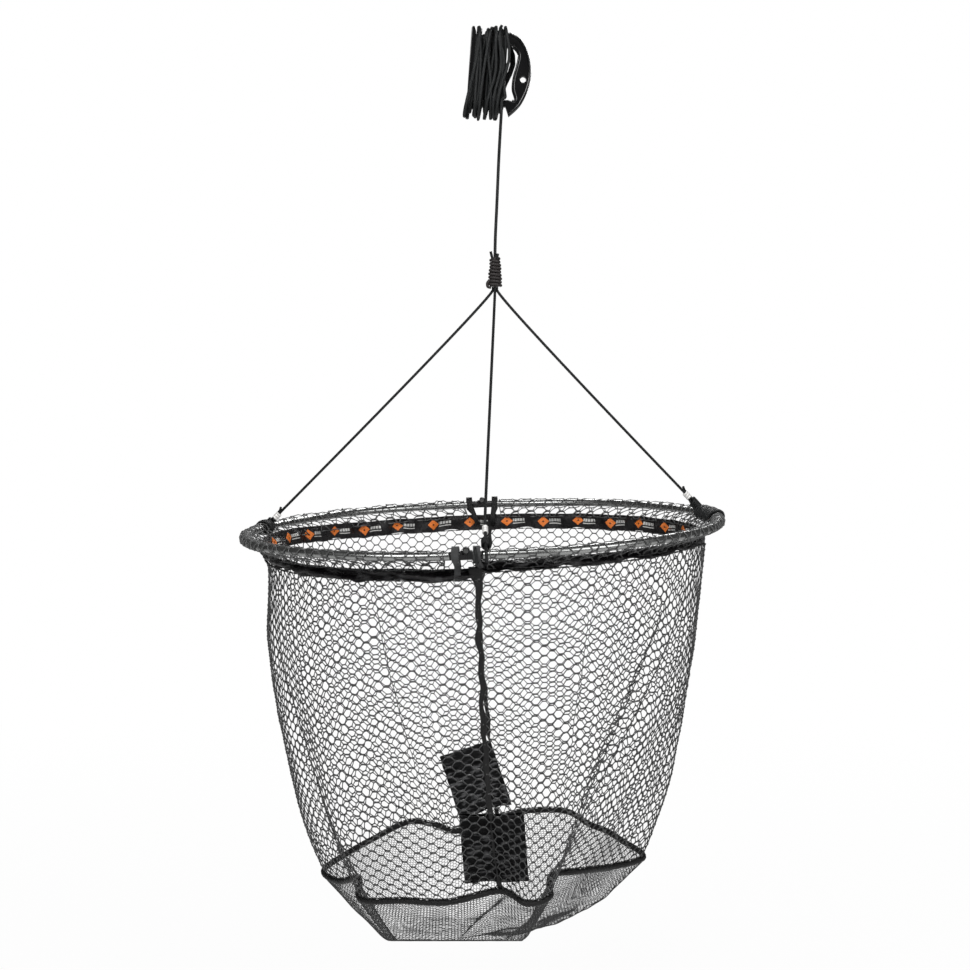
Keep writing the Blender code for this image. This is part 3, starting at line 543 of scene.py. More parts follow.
def quads_of(number):
    """Faces between neighbours in the last two directions of a grid of vertex numbers."""
    corners = number[..., :-1, :-1], number[..., :-1, 1:], number[..., 1:, 1:], number[..., 1:, :-1]
    return np.stack(corners, axis=-1).reshape(-1, 4).tolist()


def skin(name, grid, finish, marks=None, ring=False, sharp=None):
    """A skin over a grid of points (path, section, 3) with a closed section. ring closes the path too."""
    rows, cols = grid.shape[:2]
    number = np.arange(rows * cols).reshape(rows, cols)
    if ring:
        number = np.vstack([number, number[:1]])
    faces = quads_of(np.hstack([number, number[:, :1]]))
    if not ring:
        faces.append(list(range(cols)))
        faces.append(list(range((rows - 1) * cols, rows * cols)))
    flat = None if marks is None else marks.reshape(-1, 2)
    made = finished(name, grid.reshape(-1, 3), faces, finish, flat)
    if sharp:
        made.data.set_sharp_from_angle(angle=math.radians(sharp))
    return made


def braided(name, points, radius, finish, step, count, relief=0.0, lay=0.006, taper=0):
    """A rope along points, with the relief of its braid, and marks of metres along and turns around."""
    path = spaced(np.asarray(points, float), step)
    a, b = axes_along(path)
    turn = turning(count)
    along = travel(path)[:, None]
    strand = np.maximum(np.cos(4 * turn + TAU * along / lay), np.cos(4 * turn - TAU * along / lay))
    swell = radius * (1 + relief * (strand - 0.5))
    if taper:
        ends = np.minimum(along, along[-1] - along) / (taper * radius)
        swell = swell * np.sqrt(np.clip(1 - (1 - np.clip(ends, 0, 1)) ** 2, 0.05, 1))
    grid = path[:, None] + across(a, b, swell * np.cos(turn), swell * np.sin(turn))
    return skin(name, grid, finish, together(along, (turn / TAU)[None])), path


def strands(name, a, b, normals, thick, finish, place, count=4, rings=3):
    """Threads between flat places a and b (n, 2), put in space by place. thick gives each thread's radius."""
    shares = np.linspace(0, 1, rings)
    flat = a[:, None] + (b - a)[:, None] * shares[None, :, None]
    centre = place(flat[..., 0], flat[..., 1])
    way = unit(centre[:, -1] - centre[:, 0])[:, None]
    side = unit(np.cross(way, normals(flat[..., 0], flat[..., 1])))
    over = np.cross(side, way)
    waist = 1 + 0.28 * (2 * shares - 1) ** 2
    radius = (thick[:, None] * waist[None])[:, :, None, None]
    turn = (turning(count) + math.pi / count)[:, None]
    grid = centre[:, :, None] + radius * (np.cos(turn) * side[:, :, None] + np.sin(turn) * over[:, :, None])
    number = np.arange(len(a) * rings * count).reshape(len(a), rings, count)
    faces = quads_of(np.concatenate([number, number[..., :1]], axis=2))
    faces += number[:, 0, ::-1].tolist() + number[:, -1].tolist()
    return finished(name, grid.reshape(-1, 3), faces, finish, turn_out=False)


def hex_threads(columns, rows, flat_share=0.40):
    """Threads of a flat-topped hex mesh in the unit square, with the short level ones marked."""
    pitch_x, pitch_y = 1 / columns, 1 / rows
    half_flat = pitch_x * flat_share / 2 / (1 - flat_share / 2)
    slant = pitch_x - 2 * half_flat
    i, j = np.meshgrid(np.arange(-1, columns + 2), np.arange(-1, rows + 2), indexing="ij")
    x = (i * pitch_x).ravel()
    y = ((j + 0.5 * (i % 2)) * pitch_y).ravel()
    top_left = np.stack([x - half_flat, y - pitch_y / 2], 1)
    top_right = np.stack([x + half_flat, y - pitch_y / 2], 1)
    right = np.stack([x + half_flat + slant, y], 1)
    low_right = np.stack([x + half_flat, y + pitch_y / 2], 1)
    a = np.clip(np.concatenate([top_left, top_right, right]), 0, 1)
    b = np.clip(np.concatenate([top_right, right, low_right]), 0, 1)
    level = np.arange(len(a)) < len(x)
    kept = np.linalg.norm(a - b, axis=1) > 0.2 * min(pitch_x, pitch_y)
    return a[kept], b[kept], level[kept]


def vertices(made):
    co = np.empty(len(made.data.vertices) * 3, np.float32)
    made.data.vertices.foreach_get("co", co)
    return co.reshape(-1, 3).astype(float)


def ride(made, body, node_slot, *nodes):
    """The piece moves with a body and stands for the frame's plain solids. node_slot is not used."""
    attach(made, body)
    if nodes:
        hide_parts(*nodes)


def hinge_share(points):
    """A soft piece's share for its half hoop: nothing at the hinge line, all a hand's width away."""
    away = np.abs((points - HOOP_MIDDLE) @ HOOP_AXES[:, 0] - HINGE_OFFSET)
    return smooth_share(away / HINGE_REACH)


def wrap_share(points):
    """A wrap's share for its half hoop: all on the tube, and like the ribbon where it is sewn on."""
    height = np.abs((points - HOOP_MIDDLE) @ HOOP_AXES[:, 2])
    on_tube = 1 - smooth_share((height - TUBE_RADIUS) / (BAND_DROP - TUBE_RADIUS))
    near = hinge_share(points)
    return near + (1 - near) * on_tube


def bend(made, side, node_slot, share, *nodes):
    """Hides the frame's solids that the piece stands for and bakes the piece's place into its mesh. share is
    not used.
    """
    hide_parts(*nodes)
    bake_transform(made)


def cordage(name, points, radius, finish, step, count, body="hanger", nodes=(), node_slot="rope", **looks):
    """A braided piece that rides on a body. Gives the piece and its path."""
    made, path = braided(name, points, radius, FINISHES[finish], step, count, **looks)
    ride(made, body, node_slot, *nodes)
    return made, path


# Finishes

class Nodes:
    """A short way to write a node tree."""

    def __init__(self, tree):
        self.tree = tree

    def add(self, kind, **values):
        made = self.tree.nodes.new(kind)
        for key, value in values.items():
            setattr(made, key, value)
        return made

    def link(self, source, target):
        self.tree.links.new(source, target)

    def feed(self, socket, value):
        if isinstance(value, bpy.types.NodeSocket):
            self.link(value, socket)
        else:
            socket.default_value = value

    def math(self, operation, *values):
        made = self.add("ShaderNodeMath", operation=operation)
        for socket, value in zip(made.inputs, values):
            self.feed(socket, value)
        return made.outputs[0]

    def times(self, first, second):
        return self.math("MULTIPLY", first, second)

    def away(self, value, middle):
        """How far a value is from a middle, without its sign."""
        return self.math("ABSOLUTE", self.math("SUBTRACT", value, middle))

    def wave(self, value):
        """The height of a wave with a crest in the middle of each step of 1."""
        return self.math("ABSOLUTE", self.math("SINE", self.times(value, math.pi)))

    def blend(self, share, first, second):
        made = self.add("ShaderNodeMix", data_type="RGBA")
        self.feed(made.inputs["Factor"], share)
        self.feed(made.inputs["A"], first if isinstance(first, bpy.types.NodeSocket) else (*first, 1))
        self.feed(made.inputs["B"], second if isinstance(second, bpy.types.NodeSocket) else (*second, 1))
        return made.outputs["Result"]

    def dimmed(self, tint, shade):
        made = self.add("ShaderNodeVectorMath", operation="SCALE")
        self.link(tint, made.inputs[0])
        self.feed(made.inputs["Scale"], shade)
        return made.outputs["Vector"]

    def stretched(self, vector, scale):
        made = self.add("ShaderNodeMapping")
        made.inputs["Scale"].default_value = scale
        self.link(vector, made.inputs["Vector"])
        return made.outputs["Vector"]

    def noise(self, scale, detail=3.0, vector=None):
        made = self.add("ShaderNodeTexNoise")
        self.feed(made.inputs["Scale"], scale)
        made.inputs["Detail"].default_value = detail
        self.link(vector or self.place(), made.inputs["Vector"])
        return made.outputs["Fac"]

    def place(self):
        return self.add("ShaderNodeTexCoord").outputs["Object"]

    def cloth(self):
        return self.add("ShaderNodeUVMap", uv_map="cloth_metres").outputs["UV"]

    def cloth_parts(self):
        parts = self.add("ShaderNodeSeparateXYZ")
        self.link(self.cloth(), parts.inputs[0])
        return parts.outputs[0], parts.outputs[1]

    def ramp(self, value, low, high, out_low=0.0, out_high=1.0):
        made = self.add("ShaderNodeMapRange", interpolation_type="SMOOTHSTEP")
        for socket, v in zip(made.inputs, (value, low, high, out_low, out_high)):
            self.feed(socket, v)
        return made.outputs["Result"]

    def bump(self, height, strength, distance):
        made = self.add("ShaderNodeBump")
        made.inputs["Strength"].default_value = strength
        made.inputs["Distance"].default_value = distance
        self.link(height, made.inputs["Height"])
        return made.outputs["Normal"]

    def group(self, name, **values):
        made = self.add("ShaderNodeGroup")
        made.node_tree = bpy.data.node_groups[name]
        for key, value in values.items():
            self.feed(made.inputs[key.replace("_", " ")], value)
        return made.outputs

    def mottle(self, tint, spread, size, gloss, gloss_spread):
        """The colour and roughness of a surface with slow changes of both."""
        looks = {"Spread": spread, "Size": size, "Gloss": gloss, "Gloss_spread": gloss_spread}
        out = self.group("mottle", Colour=(*tint, 1), **looks)
        return out["Colour"], out["Roughness"]

    def seen(self):
        """1 for rays from the camera or through something clear, and 0 for light that only bounces."""
        rays = self.add("ShaderNodeLightPath").outputs
        return self.math("MAXIMUM", rays["Is Camera Ray"], rays["Is Transmission Ray"])

    def cover(self, shader, tone, roughness, normal=None):
        self.link(tone, shader.inputs["Base Color"])
        self.link(roughness, shader.inputs["Roughness"])
        if normal:
            self.link(normal, shader.inputs["Normal"])


def new_group(name, inputs, outputs):
    """A node group with number inputs, and colour ones where the name is Colour."""
    tree = bpy.data.node_groups.new(name, "ShaderNodeTree")
    for key, value in inputs.items():
        kind = "NodeSocketColor" if key == "Colour" else "NodeSocketFloat"
        socket = tree.interface.new_socket(key, in_out="INPUT", socket_type=kind)
        if value is not None:
            socket.default_value = value
    for key in outputs:
        kind = "NodeSocketColor" if key == "Colour" else "NodeSocketFloat"
        tree.interface.new_socket(key, in_out="OUTPUT", socket_type=kind)
    work = Nodes(tree)
    return work, work.add("NodeGroupInput").outputs, work.add("NodeGroupOutput").inputs


def make_mottle_group():
    """Slow changes of tone and gloss, for every surface."""
    given_values = {"Colour": None, "Spread": 0.25, "Size": 40.0, "Gloss": 0.4, "Gloss spread": 0.1}
    work, given, out = new_group("mottle", given_values, ("Colour", "Roughness"))
    swing = work.math("SUBTRACT", work.noise(given["Size"], 5), 0.5)
    tone = work.math("MULTIPLY_ADD", work.times(swing, 2.0), given["Spread"], 1.0)
    work.link(work.dimmed(given["Colour"], tone), out["Colour"])
    work.link(work.math("MULTIPLY_ADD", swing, given["Gloss spread"], given["Gloss"]), out["Roughness"])


def make_weave_group():
    """Height of a plain weave, and its shade as painted shade in the dips and painted highlight on the
    crests, from cloth places in metres.
    """
    work, given, out = new_group("weave", {"Across": 0.0006, "Along": 0.0006}, ("Height", "Shade"))
    first, second = work.cloth_parts()
    u = work.math("DIVIDE", first, given["Across"])
    v = work.math("DIVIDE", second, given["Along"])
    both = work.math("ADD", work.math("FLOOR", u), work.math("FLOOR", v))
    turn = work.math("MODULO", work.math("ABSOLUTE", both), 2.0)
    over = work.times(work.wave(u), turn)
    under = work.times(work.wave(v), work.math("SUBTRACT", 1.0, turn))
    height = work.math("ADD", over, under)
    work.link(height, out["Height"])
    # Shade is painted shade where the yarns dip and painted highlight where they rise.
    work.link(work.ramp(height, 0.2, 0.9, 0.6, 1.12), out["Shade"])


def make_braid_group():
    """Height of a braided sheath, and its shade as painted shade between the strands and painted highlight on
    their crowns, from metres along and turns around.
    """
    work, given, out = new_group("braid", {"Lay": 0.006, "Carriers": 8.0}, ("Height", "Shade"))
    first, second = work.cloth_parts()
    u = work.math("DIVIDE", first, given["Lay"])
    v = work.times(second, given["Carriers"])
    right = work.wave(work.math("ADD", u, v))
    left = work.wave(work.math("SUBTRACT", u, v))
    height = work.math("MAXIMUM", right, left)
    work.link(height, out["Height"])
    # Shade is painted shade between the strands and painted highlight on their crowns.
    work.link(work.ramp(height, 0.45, 1.0, 0.45, 1.25), out["Shade"])


def start_finish(name, rough=0.5, metal=0.0, coat=0.0, sheen=0.0, specular=0.5):
    made = bpy.data.materials.new(name)
    made.use_nodes = True
    shader = made.node_tree.nodes["Principled BSDF"]
    shader.inputs["Roughness"].default_value = rough
    shader.inputs["Metallic"].default_value = metal
    shader.inputs["Coat Weight"].default_value = coat
    shader.inputs["Sheen Weight"].default_value = sheen
    shader.inputs["Specular IOR Level"].default_value = specular
    return made, Nodes(made.node_tree), shader


def plastic_finish(name, tint, rough, coat, grain):
    """Moulded plastic: faint flow marks and a fine grain."""
    made, work, shader = start_finish(name, coat=coat)
    shader.inputs["Coat Roughness"].default_value = 0.12
    tone, gloss = work.mottle(tint, 0.2, 60.0, rough, 0.12)
    height = work.math("ADD", work.noise(220, 2), work.times(work.noise(1800, 2), 0.4))
    work.cover(shader, tone, gloss, work.bump(height, grain, 0.0003))
    return made


def metal_finish(name, tint, rough, drawn, metal=1.0):
    """Drawn or crimped metal: streaks along the tube and small handling marks."""
    made, work, shader = start_finish(name, metal=metal)
    tone, gloss = work.mottle(tint, 0.16, 90.0, rough, 0.16)
    scratch = work.ramp(work.noise(700, 6), 0.60, 0.75)
    lines = work.noise(14, 3, work.stretched(work.place(), (60, 60, drawn)))
    tone = work.blend(work.times(scratch, 0.35), tone, (0.22, 0.22, 0.22))
    gloss = work.math("MULTIPLY_ADD", lines, 0.10, gloss)
    work.cover(shader, tone, gloss, work.bump(lines, 0.12, 0.0002))
    return made


def rope_finish(name, tint, lay):
    """A braided sheath with eight strands each way, and fibre sheen."""
    made, work, shader = start_finish(name, rough=0.55, sheen=0.03, specular=0.38)
    shader.inputs["Sheen Roughness"].default_value = 0.4
    braid = work.group("braid", Lay=lay, Carriers=8.0)
    tone, gloss = work.mottle(tint, 0.35, 120.0, 0.50, 0.15)
    height = work.math("MULTIPLY_ADD", work.noise(2600, 2), 0.35, braid["Height"])
    # The braid's painted shade and highlight go into the rope's colour.
    work.cover(shader, work.dimmed(tone, braid["Shade"]), gloss, work.bump(height, 0.6, 0.0005))
    return made


def thread_finish(name, tint, rough):
    """Rubber-coated thread: soft gloss, with the twist of the yarn under the coat."""
    made, work, shader = start_finish(name, rough=rough, coat=0.15, specular=0.5)
    shader.inputs["Coat Roughness"].default_value = 0.35
    tone, gloss = work.mottle(tint, 0.35, 55.0, rough, 0.2)
    worn = work.ramp(work.noise(380, 4), 0.60, 0.78)
    tone = work.blend(work.times(worn, 0.4), tone, (0.13, 0.13, 0.13))
    work.cover(shader, tone, gloss, work.bump(work.noise(1400, 3), 0.35, 0.0004))
    return made


def cloth_finish(name, tint, yarns, rough, sheen, depth=0.5, wrinkle=0.0, folds_with_painted_sheen=0.0, specular=0.35):
    """Woven cloth: yarns with painted shade and highlight, sheen, slow changes of tone, fine wrinkles and,
    when asked for, level folds with painted highlights along them.
    """
    made, work, shader = start_finish(name, rough=rough, sheen=sheen, specular=specular)
    shader.inputs["Sheen Roughness"].default_value = 0.35
    weave = work.group("weave", Across=yarns[0], Along=yarns[1])
    tone, gloss = work.mottle(tint, 0.3, 70.0, rough, 0.12)
    # The weave's painted shade and highlight go into the cloth's colour.
    tone = work.dimmed(tone, weave["Shade"])
    height = work.times(weave["Height"], 0.3)
    height = work.math("MULTIPLY_ADD", work.noise(160, 4), wrinkle, height)
    if folds_with_painted_sheen:
        fold = work.noise(1.0, 4, work.stretched(work.cloth(), (56, 170, 1)))
        # Pale streaks along the folds are painted highlights, a quarter as strong in the band under the flap.
        below = work.ramp(work.cloth_parts()[1], -0.034, -0.024, folds_with_painted_sheen, 0.25 * folds_with_painted_sheen)
        tone = work.blend(work.times(work.ramp(fold, 0.50, 0.64), below), tone, (0.095, 0.095, 0.098))
        height = work.math("MULTIPLY_ADD", fold, 4.0, height)
    work.cover(shader, tone, gloss, work.bump(height, depth, 0.0006))
    return made


def ribbon_finish(name, tints):
    """Black satin with painted satin highlights in pale patches outside, and with lozenges, blocks and thin
    bars woven in inside.
    """
    made, work, shader = start_finish(name, rough=0.30, specular=0.35)
    shader.inputs["Sheen Roughness"].default_value = 0.3
    along, height_on_band = work.cloth_parts()
    inner = work.add("ShaderNodeAttribute", attribute_name="inner_face").outputs["Fac"]
    cell = work.math("WRAP", along, MARK_PITCH, 0.0)
    level = work.math("SUBTRACT", height_on_band, BAND_HEIGHT / 2)
    wide = work.math("DIVIDE", work.away(cell, MARK_PITCH / 2), LOZENGE[0])
    tall = work.math("DIVIDE", work.math("ABSOLUTE", level), LOZENGE[1])
    away = work.math("ADD", wide, tall)
    lozenge = work.ramp(away, 0.97, 1.03, 1.0, 0.0)
    heart = work.ramp(away, 0.16, 0.24, 0.0, 1.0)
    run = work.ramp(work.away(cell, 0.0110), 0.0098, 0.0102, 1.0, 0.0)
    blocks = work.ramp(work.math("PINGPONG", along, 0.0024), 0.0004, 0.0007)
    upper = work.ramp(work.away(level, -0.0016), 0.0021, 0.0025, 1.0, 0.0)
    lower = work.ramp(work.away(level, 0.0038), 0.0006, 0.0009, 1.0, 0.0)
    bars = work.times(run, work.math("MAXIMUM", work.times(upper, blocks), lower))
    weave = work.group("weave", Across=0.00045, Along=0.0009)
    tone, gloss = work.mottle(tints.ribbon, 0.35, 70.0, 0.30, 0.2)
    # Pale patches on the outer face are painted satin highlights.
    painted_sheen_patches = work.ramp(work.noise(62, 4), 0.52, 0.66, 0.0, 0.75)
    crushed = work.times(painted_sheen_patches, work.math("SUBTRACT", 1.0, inner))
    face = work.blend(crushed, tone, (0.062, 0.062, 0.064))
    face = work.blend(work.times(bars, inner), face, tuple(tints.bars))
    face = work.blend(work.times(work.times(lozenge, heart), inner), face, tuple(tints.lozenge))
    raised = work.times(work.math("MAXIMUM", lozenge, bars), work.times(inner, 0.3))
    height = work.math("ADD", work.times(weave["Height"], 0.15), raised)
    height = work.math("MULTIPLY_ADD", work.noise(75, 3), 5.0, height)
    # The weave's painted shade and highlight go into the satin's colour.
    work.cover(shader, work.dimmed(face, weave["Shade"]), gloss, work.bump(height, 0.9, 0.0009))
    return made


def make_finishes(tints):
    make_mottle_group()
    make_weave_group()
    make_braid_group()
    return {
        "plastic": plastic_finish("winder_gloss_plastic", tints.plastic, 0.20, 0.4, 0.05),
        "hinge": plastic_finish("hinge_matt_plastic", tints.hinge, 0.42, 0.1, 0.18),
        "metal": metal_finish("hoop_tube_metal", tints.metal, 0.22, 4),
        "ferrule": metal_finish("ferrule_soft_metal", tints.ferrule, 0.40, 30, 0.3),
        "rope": rope_finish("braided_rope", tints.rope, ROPE_LAY),
        "leg": rope_finish("braided_leg_cord", tints.rope, LEG_LAY),
        "whipping": rope_finish("knot_whipping_cord", tints.knot, 0.0040),
        "mesh": thread_finish("coated_mesh_thread", tints.mesh, 0.38),
        # The sleeve is the wall's mesh over the tube, given a paler tone than the wall's thread.
        "sleeve": thread_finish("pale_sleeve_thread", tints.sleeve, 0.5),
        "fine": thread_finish("fine_base_thread", tints.mesh, 0.55),
        "ribbon": ribbon_finish("satin_ribbon", tints),
        "webbing": cloth_finish("webbing_tab_cloth", tints.webbing, (0.0011, 0.0007), 0.85, 0.2, 0.9, 1.2),
        "tape": cloth_finish("seam_tape_cloth", tints.tape, (0.0007, 0.0007), 0.50, 0.0, 0.8, 1.6),
        # The pocket cloth gets painted highlights along its folds.
        "pocket": cloth_finish(
            "pocket_cloth", tints.pocket, (0.0006, 0.0006), 0.40, 0.0, 0.6, 0.8, folds_with_painted_sheen=1.0, specular=0.10
        ),
    }


FINISHES = {}


# Stage

def lamp(name, place, aim, energy, size):
    data = bpy.data.lights.new(name, "AREA")
    data.shape = "DISK"
    data.size = size
    data.energy = energy
    made = placed(name, data)
    made.location = place
    made.rotation_euler = (Vector(aim) - Vector(place)).to_track_quat("-Z", "Y").to_euler()


def floor_finish(name, tint):
    """A pale surface that looks nearly white to the camera and still takes shadows."""
    made, work, shader = start_finish(name, rough=0.85, specular=0.1)
    work.cover(shader, *work.mottle(tint, 0.015, 3.0, 0.85, 0.05))
    glow = work.add("ShaderNodeEmission")
    glow.inputs["Strength"].default_value = 1.0
    far = work.add("ShaderNodeVectorMath", operation="LENGTH")
    work.link(work.place(), far.inputs[0])
    spread = work.ramp(far.outputs["Value"], *SHINE_REACH, SHINE_NEAR, 1.0)
    mixed = work.add("ShaderNodeMixShader")
    work.link(work.times(work.seen(), spread), mixed.inputs[0])
    work.link(shader.outputs[0], mixed.inputs[1])
    work.link(glow.outputs[0], mixed.inputs[2])
    work.link(mixed.outputs[0], made.node_tree.nodes["Material Output"].inputs["Surface"])
    return made


def make_stage():
    scene = bpy.context.scene
    scene.view_settings.view_transform = "Standard"
    FINISHES.update(make_finishes(scene.drop_net_colours))

    data = bpy.data.cameras.new("photo_camera")
    data.lens = LENS_MM
    data.clip_end = 60
    camera = placed("photo_camera", data)
    camera.location = EYE
    camera.rotation_euler = (math.pi / 2 - EYE_PITCH, 0, 0)
    scene.camera = camera

    verts = [(x * FLOOR_HALF, y * FLOOR_HALF, FLOOR_Z) for x, y in ((-1, -1), (1, -1), (1, 1), (-1, 1))]
    pale = floor_finish("studio_floor", (0.92, 0.92, 0.92))
    floor = finished("studio_floor", verts, [(0, 1, 2, 3)], pale)

    world = bpy.data.worlds.new("studio_world")
    world.use_nodes = True
    scene.world = world
    work = Nodes(world.node_tree)
    back = world.node_tree.nodes["Background"]
    back.inputs["Color"].default_value = (1, 1, 1, 1)
    work.link(work.math("MULTIPLY_ADD", work.seen(), 0.90, 0.10), back.inputs["Strength"])

    lamp("key_lamp", (-1.9, -2.4, 1.3), (0, 0, -0.6), 56, 1.6)
    lamp("fill_lamp", (2.3, -1.9, 0.4), (0, 0, -0.7), 38, 1.8)
    lamp("top_lamp", (0.1, -2.3, 2.6), (0, 0, -0.8), 75, 2.4)
    lamp("rim_lamp", (0.4, 2.6, 1.0), (0, 0, -0.6), 45, 1.6)


# Winder and rope

def rounded_plate(name, outlines, half, edge, finish):
    """A flat shape in the XZ plane, cut by its inner outlines, with round edges all the way round."""
    data = bpy.data.curves.new(name, "CURVE")
    data.dimensions = "2D"
    data.fill_mode = "BOTH"
    data.extrude = half - edge
    data.bevel_depth = edge
    data.bevel_resolution = 3
    data.offset = -edge
    for outline in outlines:
        spline = data.splines.new("POLY")
        spline.points.add(len(outline) - 1)
        for slot, (x, z) in zip(spline.points, outline):
            slot.co = (x, z, 0, 1)
        spline.use_cyclic_u = True
    flat = placed(name, data)
    flat.rotation_euler = (math.pi / 2, 0, 0)
    bpy.context.view_layer.update()
    graph = bpy.context.evaluated_depsgraph_get()
    mesh = bpy.data.meshes.new_from_object(flat.evaluated_get(graph))
    mesh.transform(flat.matrix_world)
    bpy.data.objects.remove(flat)
    turn_outwards(mesh, weld=1e-6)
    mesh.shade_smooth()
    mesh.set_sharp_from_angle(angle=math.radians(48))
    mesh.materials.clear()
    mesh.materials.append(finish)
    return placed(name, mesh)


def bead(name, line, wide, thin):
    """A raised bead along places (x, z) of the winder's frame."""
    centre = together(line[:, 0], 0.0, line[:, 1])
    side, over = axes_along(centre, (0, 1, 0))
    turn = turning(20)
    section = across(side, over, wide * squared(np.cos(turn), 0.45), thin * squared(np.sin(turn), 0.45))
    ride(skin(name, centre[:, None] + section, FINISHES["plastic"], sharp=50), "hanger", "winder")


def make_winder():
    """Horned end bar, two saddle bars and a D handle with a raised rim."""
    outline = FRAME_FOOT + [tuple(p) for p in through(HANDLE_ROUTE, count=40)] + FRAME_BROW
    window = [tuple(p) for p in through(SLOT_ROUTE, count=46)] + FRAME_WINDOW
    turn = turning(28)
    hole = np.array(HANG_HOLE) + HANG_HOLE_RADIUS * together(np.cos(turn), np.sin(turn))
    outlines = [outline, window, [tuple(p) for p in hole]]
    plate = rounded_plate("winder_frame_moulding", outlines, PLATE_HALF, PLATE_EDGE, FINISHES["plastic"])
    ride(plate, "hanger", "winder", "winder_frame")

    rim = through(HANDLE_ROUTE, count=64)
    way = unit(np.gradient(rim, axis=0))
    inset = rim + RIM_INSET * together(-way[:, 1], way[:, 0])
    bead("winder_handle_rim", inset[2:-2], 0.0078, 0.0021)
    bead("winder_slot_lip", through(SLOT_ROUTE, np.linspace(0.6, len(SLOT_ROUTE) - 1.6, 50)), 0.0066, 0.0026)


def winding_points():
    """Three layers of turns round both saddle bars, fanned on the left to follow the slanted end bar."""
    left_top, left_foot, right = WINDING_ENDS
    points = []
    for number, (half, turns, way, messy) in enumerate(WINDING_LAYERS):
        outermost = number == len(WINDING_LAYERS) - 1
        count = int(turns * WINDING_STEPS)
        for k in range(count + outermost):
            share = k / count if way > 0 else 1 - k / count
            passed = k / WINDING_STEPS
            turn = TAU * passed
            slant = messy * math.sin(2.45 * passed + 0.4) + 0.4 * messy * math.sin(5.3 * passed)
            rise = 0.5 * messy * (0.5 + 0.5 * math.sin(3.9 * passed + 1)) if number else 0.0
            out = half + rise
            height = SADDLE_Z + out
            z = height * math.cos(turn)
            if outermost:
                z -= BELLY_DROP * bell(share - 0.55, 0.22) * max(0.0, -math.cos(turn)) ** 2
            over = min(1.0, max(0.0, (abs(z) - SADDLE_Z) / out))
            y = -math.copysign(out * math.sqrt(1 - over * over), math.sin(turn + 1e-6))
            top = left_top + (right - left_top) * share**0.85
            foot = left_foot + (right - left_foot) * share**1.22
            x = foot + (top - foot) * (0.5 + 0.5 * z / height) + slant * z / height
            for where, bulge, belly in BULGES if outermost else []:
                x += bulge * bell(passed - where, 0.40) * bell(z - belly, 0.034)
            if outermost and passed > turns - 0.5:
                x += (ROPE_START[0] - right) * smooth_share((passed - turns + 0.5) * 2)
            points.append((x, y, z))
    return np.array(points + [ROPE_START])


def make_rope(sizes):
    """The rope wound on the winder, and its run down to the knot."""
    radius = sizes.rope / 2
    nodes = ("rope_winding", "rope_core")
    coil, path = cordage("rope_winding_coil", winding_points(), radius, "rope", 0.0024, 12, nodes=nodes)

    route = through(ROPE_ROUTE, count=120)
    looks = {"relief": 0.10, "lay": ROPE_LAY}
    line, path = cordage("hanging_rope", route, radius, "rope", 0.0007, 16, nodes=["main_rope"], **looks)
    cordage("rope_end_stub", ROPE_END_ROUTE, radius, "rope", 0.0008, 14, relief=0.08)


def make_knot(sizes):
    """The whipping of eight wraps round the joined cords, with their cut ends."""
    middle = np.array(KNOT)
    cord = KNOT_CORD_RADIUS
    widening = KNOT_FOOT_RADIUS - KNOT_TOP_RADIUS
    turn = np.linspace(0, TAU * KNOT_WRAPS, KNOT_WRAPS * 24)
    share = turn / turn[-1]
    loose = 0.0003 * np.sin(3.1 * turn) + 0.0004 * np.sin(0.7 * turn)
    radius = KNOT_TOP_RADIUS + widening * share - cord + loose
    drop = cord + KNOT_PITCH * turn / TAU
    wraps = middle + together(radius * np.cos(turn), radius * np.sin(turn), -drop)
    looks = {"relief": 0.10, "lay": LEG_LAY}
    cordage("knot_whipping", wraps, cord * 1.08, "whipping", 0.0010, 14, nodes=["knot_wraps"], **looks)

    around = turning(24)
    down = np.linspace(0, 1, 12)[:, None]
    size = (KNOT_TOP_RADIUS + widening * down - 2 * cord) * (1 + 0.16 * np.cos(3 * around))
    twist = around + 0.8 * down
    heart = middle + together(size * np.cos(twist), size * np.sin(twist), -KNOT_HEIGHT * down)
    marks = together(KNOT_HEIGHT * down, around / TAU)
    ride(skin("knot_heart", heart, FINISHES["whipping"], marks), "hanger", "rope", "knot_core")

    radius = sizes.leg / 2
    for side, route in KNOT_ENDS.items():
        cordage(f"knot_cut_end_{side}", route, radius, "rope", 0.0008, 14, relief=0.1)
    cordage("knot_tail_loop", through(KNOT_TAIL, count=30), radius, "whipping", 0.0008, 14, relief=0.1)


def leg_places():
    """For each leg: the hoop's middle there, the way round the hoop, the way up and the knot's foot."""
    knot_foot = np.array(KNOT) - (0, 0, KNOT_HEIGHT)
    places = {}
    for side in LEG_SPREAD:
        angle = from_hinge(1, -1, FRONT_LEG_OFFSET) if side == "front" else SIDE_LEG_ANGLES[side]
        centre = on_hoop(angle)
        tangent = unit(on_hoop(angle + 0.001) - on_hoop(angle - 0.001))
        up = knot_foot - centre
        up = unit(up - tangent * (up @ tangent))
        places[side] = (centre, tangent, up, knot_foot)
    return places


def make_eye(side, body, radius, centre, sideways, up):
    """A leg's loop round the hoop, from one side of its ferrule to the other."""
    rise = EYE_RISE[side]
    out = TUBE_RADIUS + 2 * LEG_GAP + radius
    turns = np.radians(52 - 284 * np.linspace(0, 1, 19))
    loop = [(0.0022, rise + 0.003), (0.0023, rise * 0.75)]
    loop += [(out * math.cos(t), out * math.sin(t)) for t in turns]
    loop += [(-0.0023, rise * 0.75), (-0.0022, rise + 0.003)]
    points = np.array([centre + sideways * x + up * z for x, z in loop])
    looks = {"relief": 0.08, "lay": LEG_LAY, "body": body, "nodes": [f"hoop_loop_{side}"]}
    cordage(f"hoop_eye_{side}", through(points, count=110), radius, "leg", 0.0009, 14, **looks)


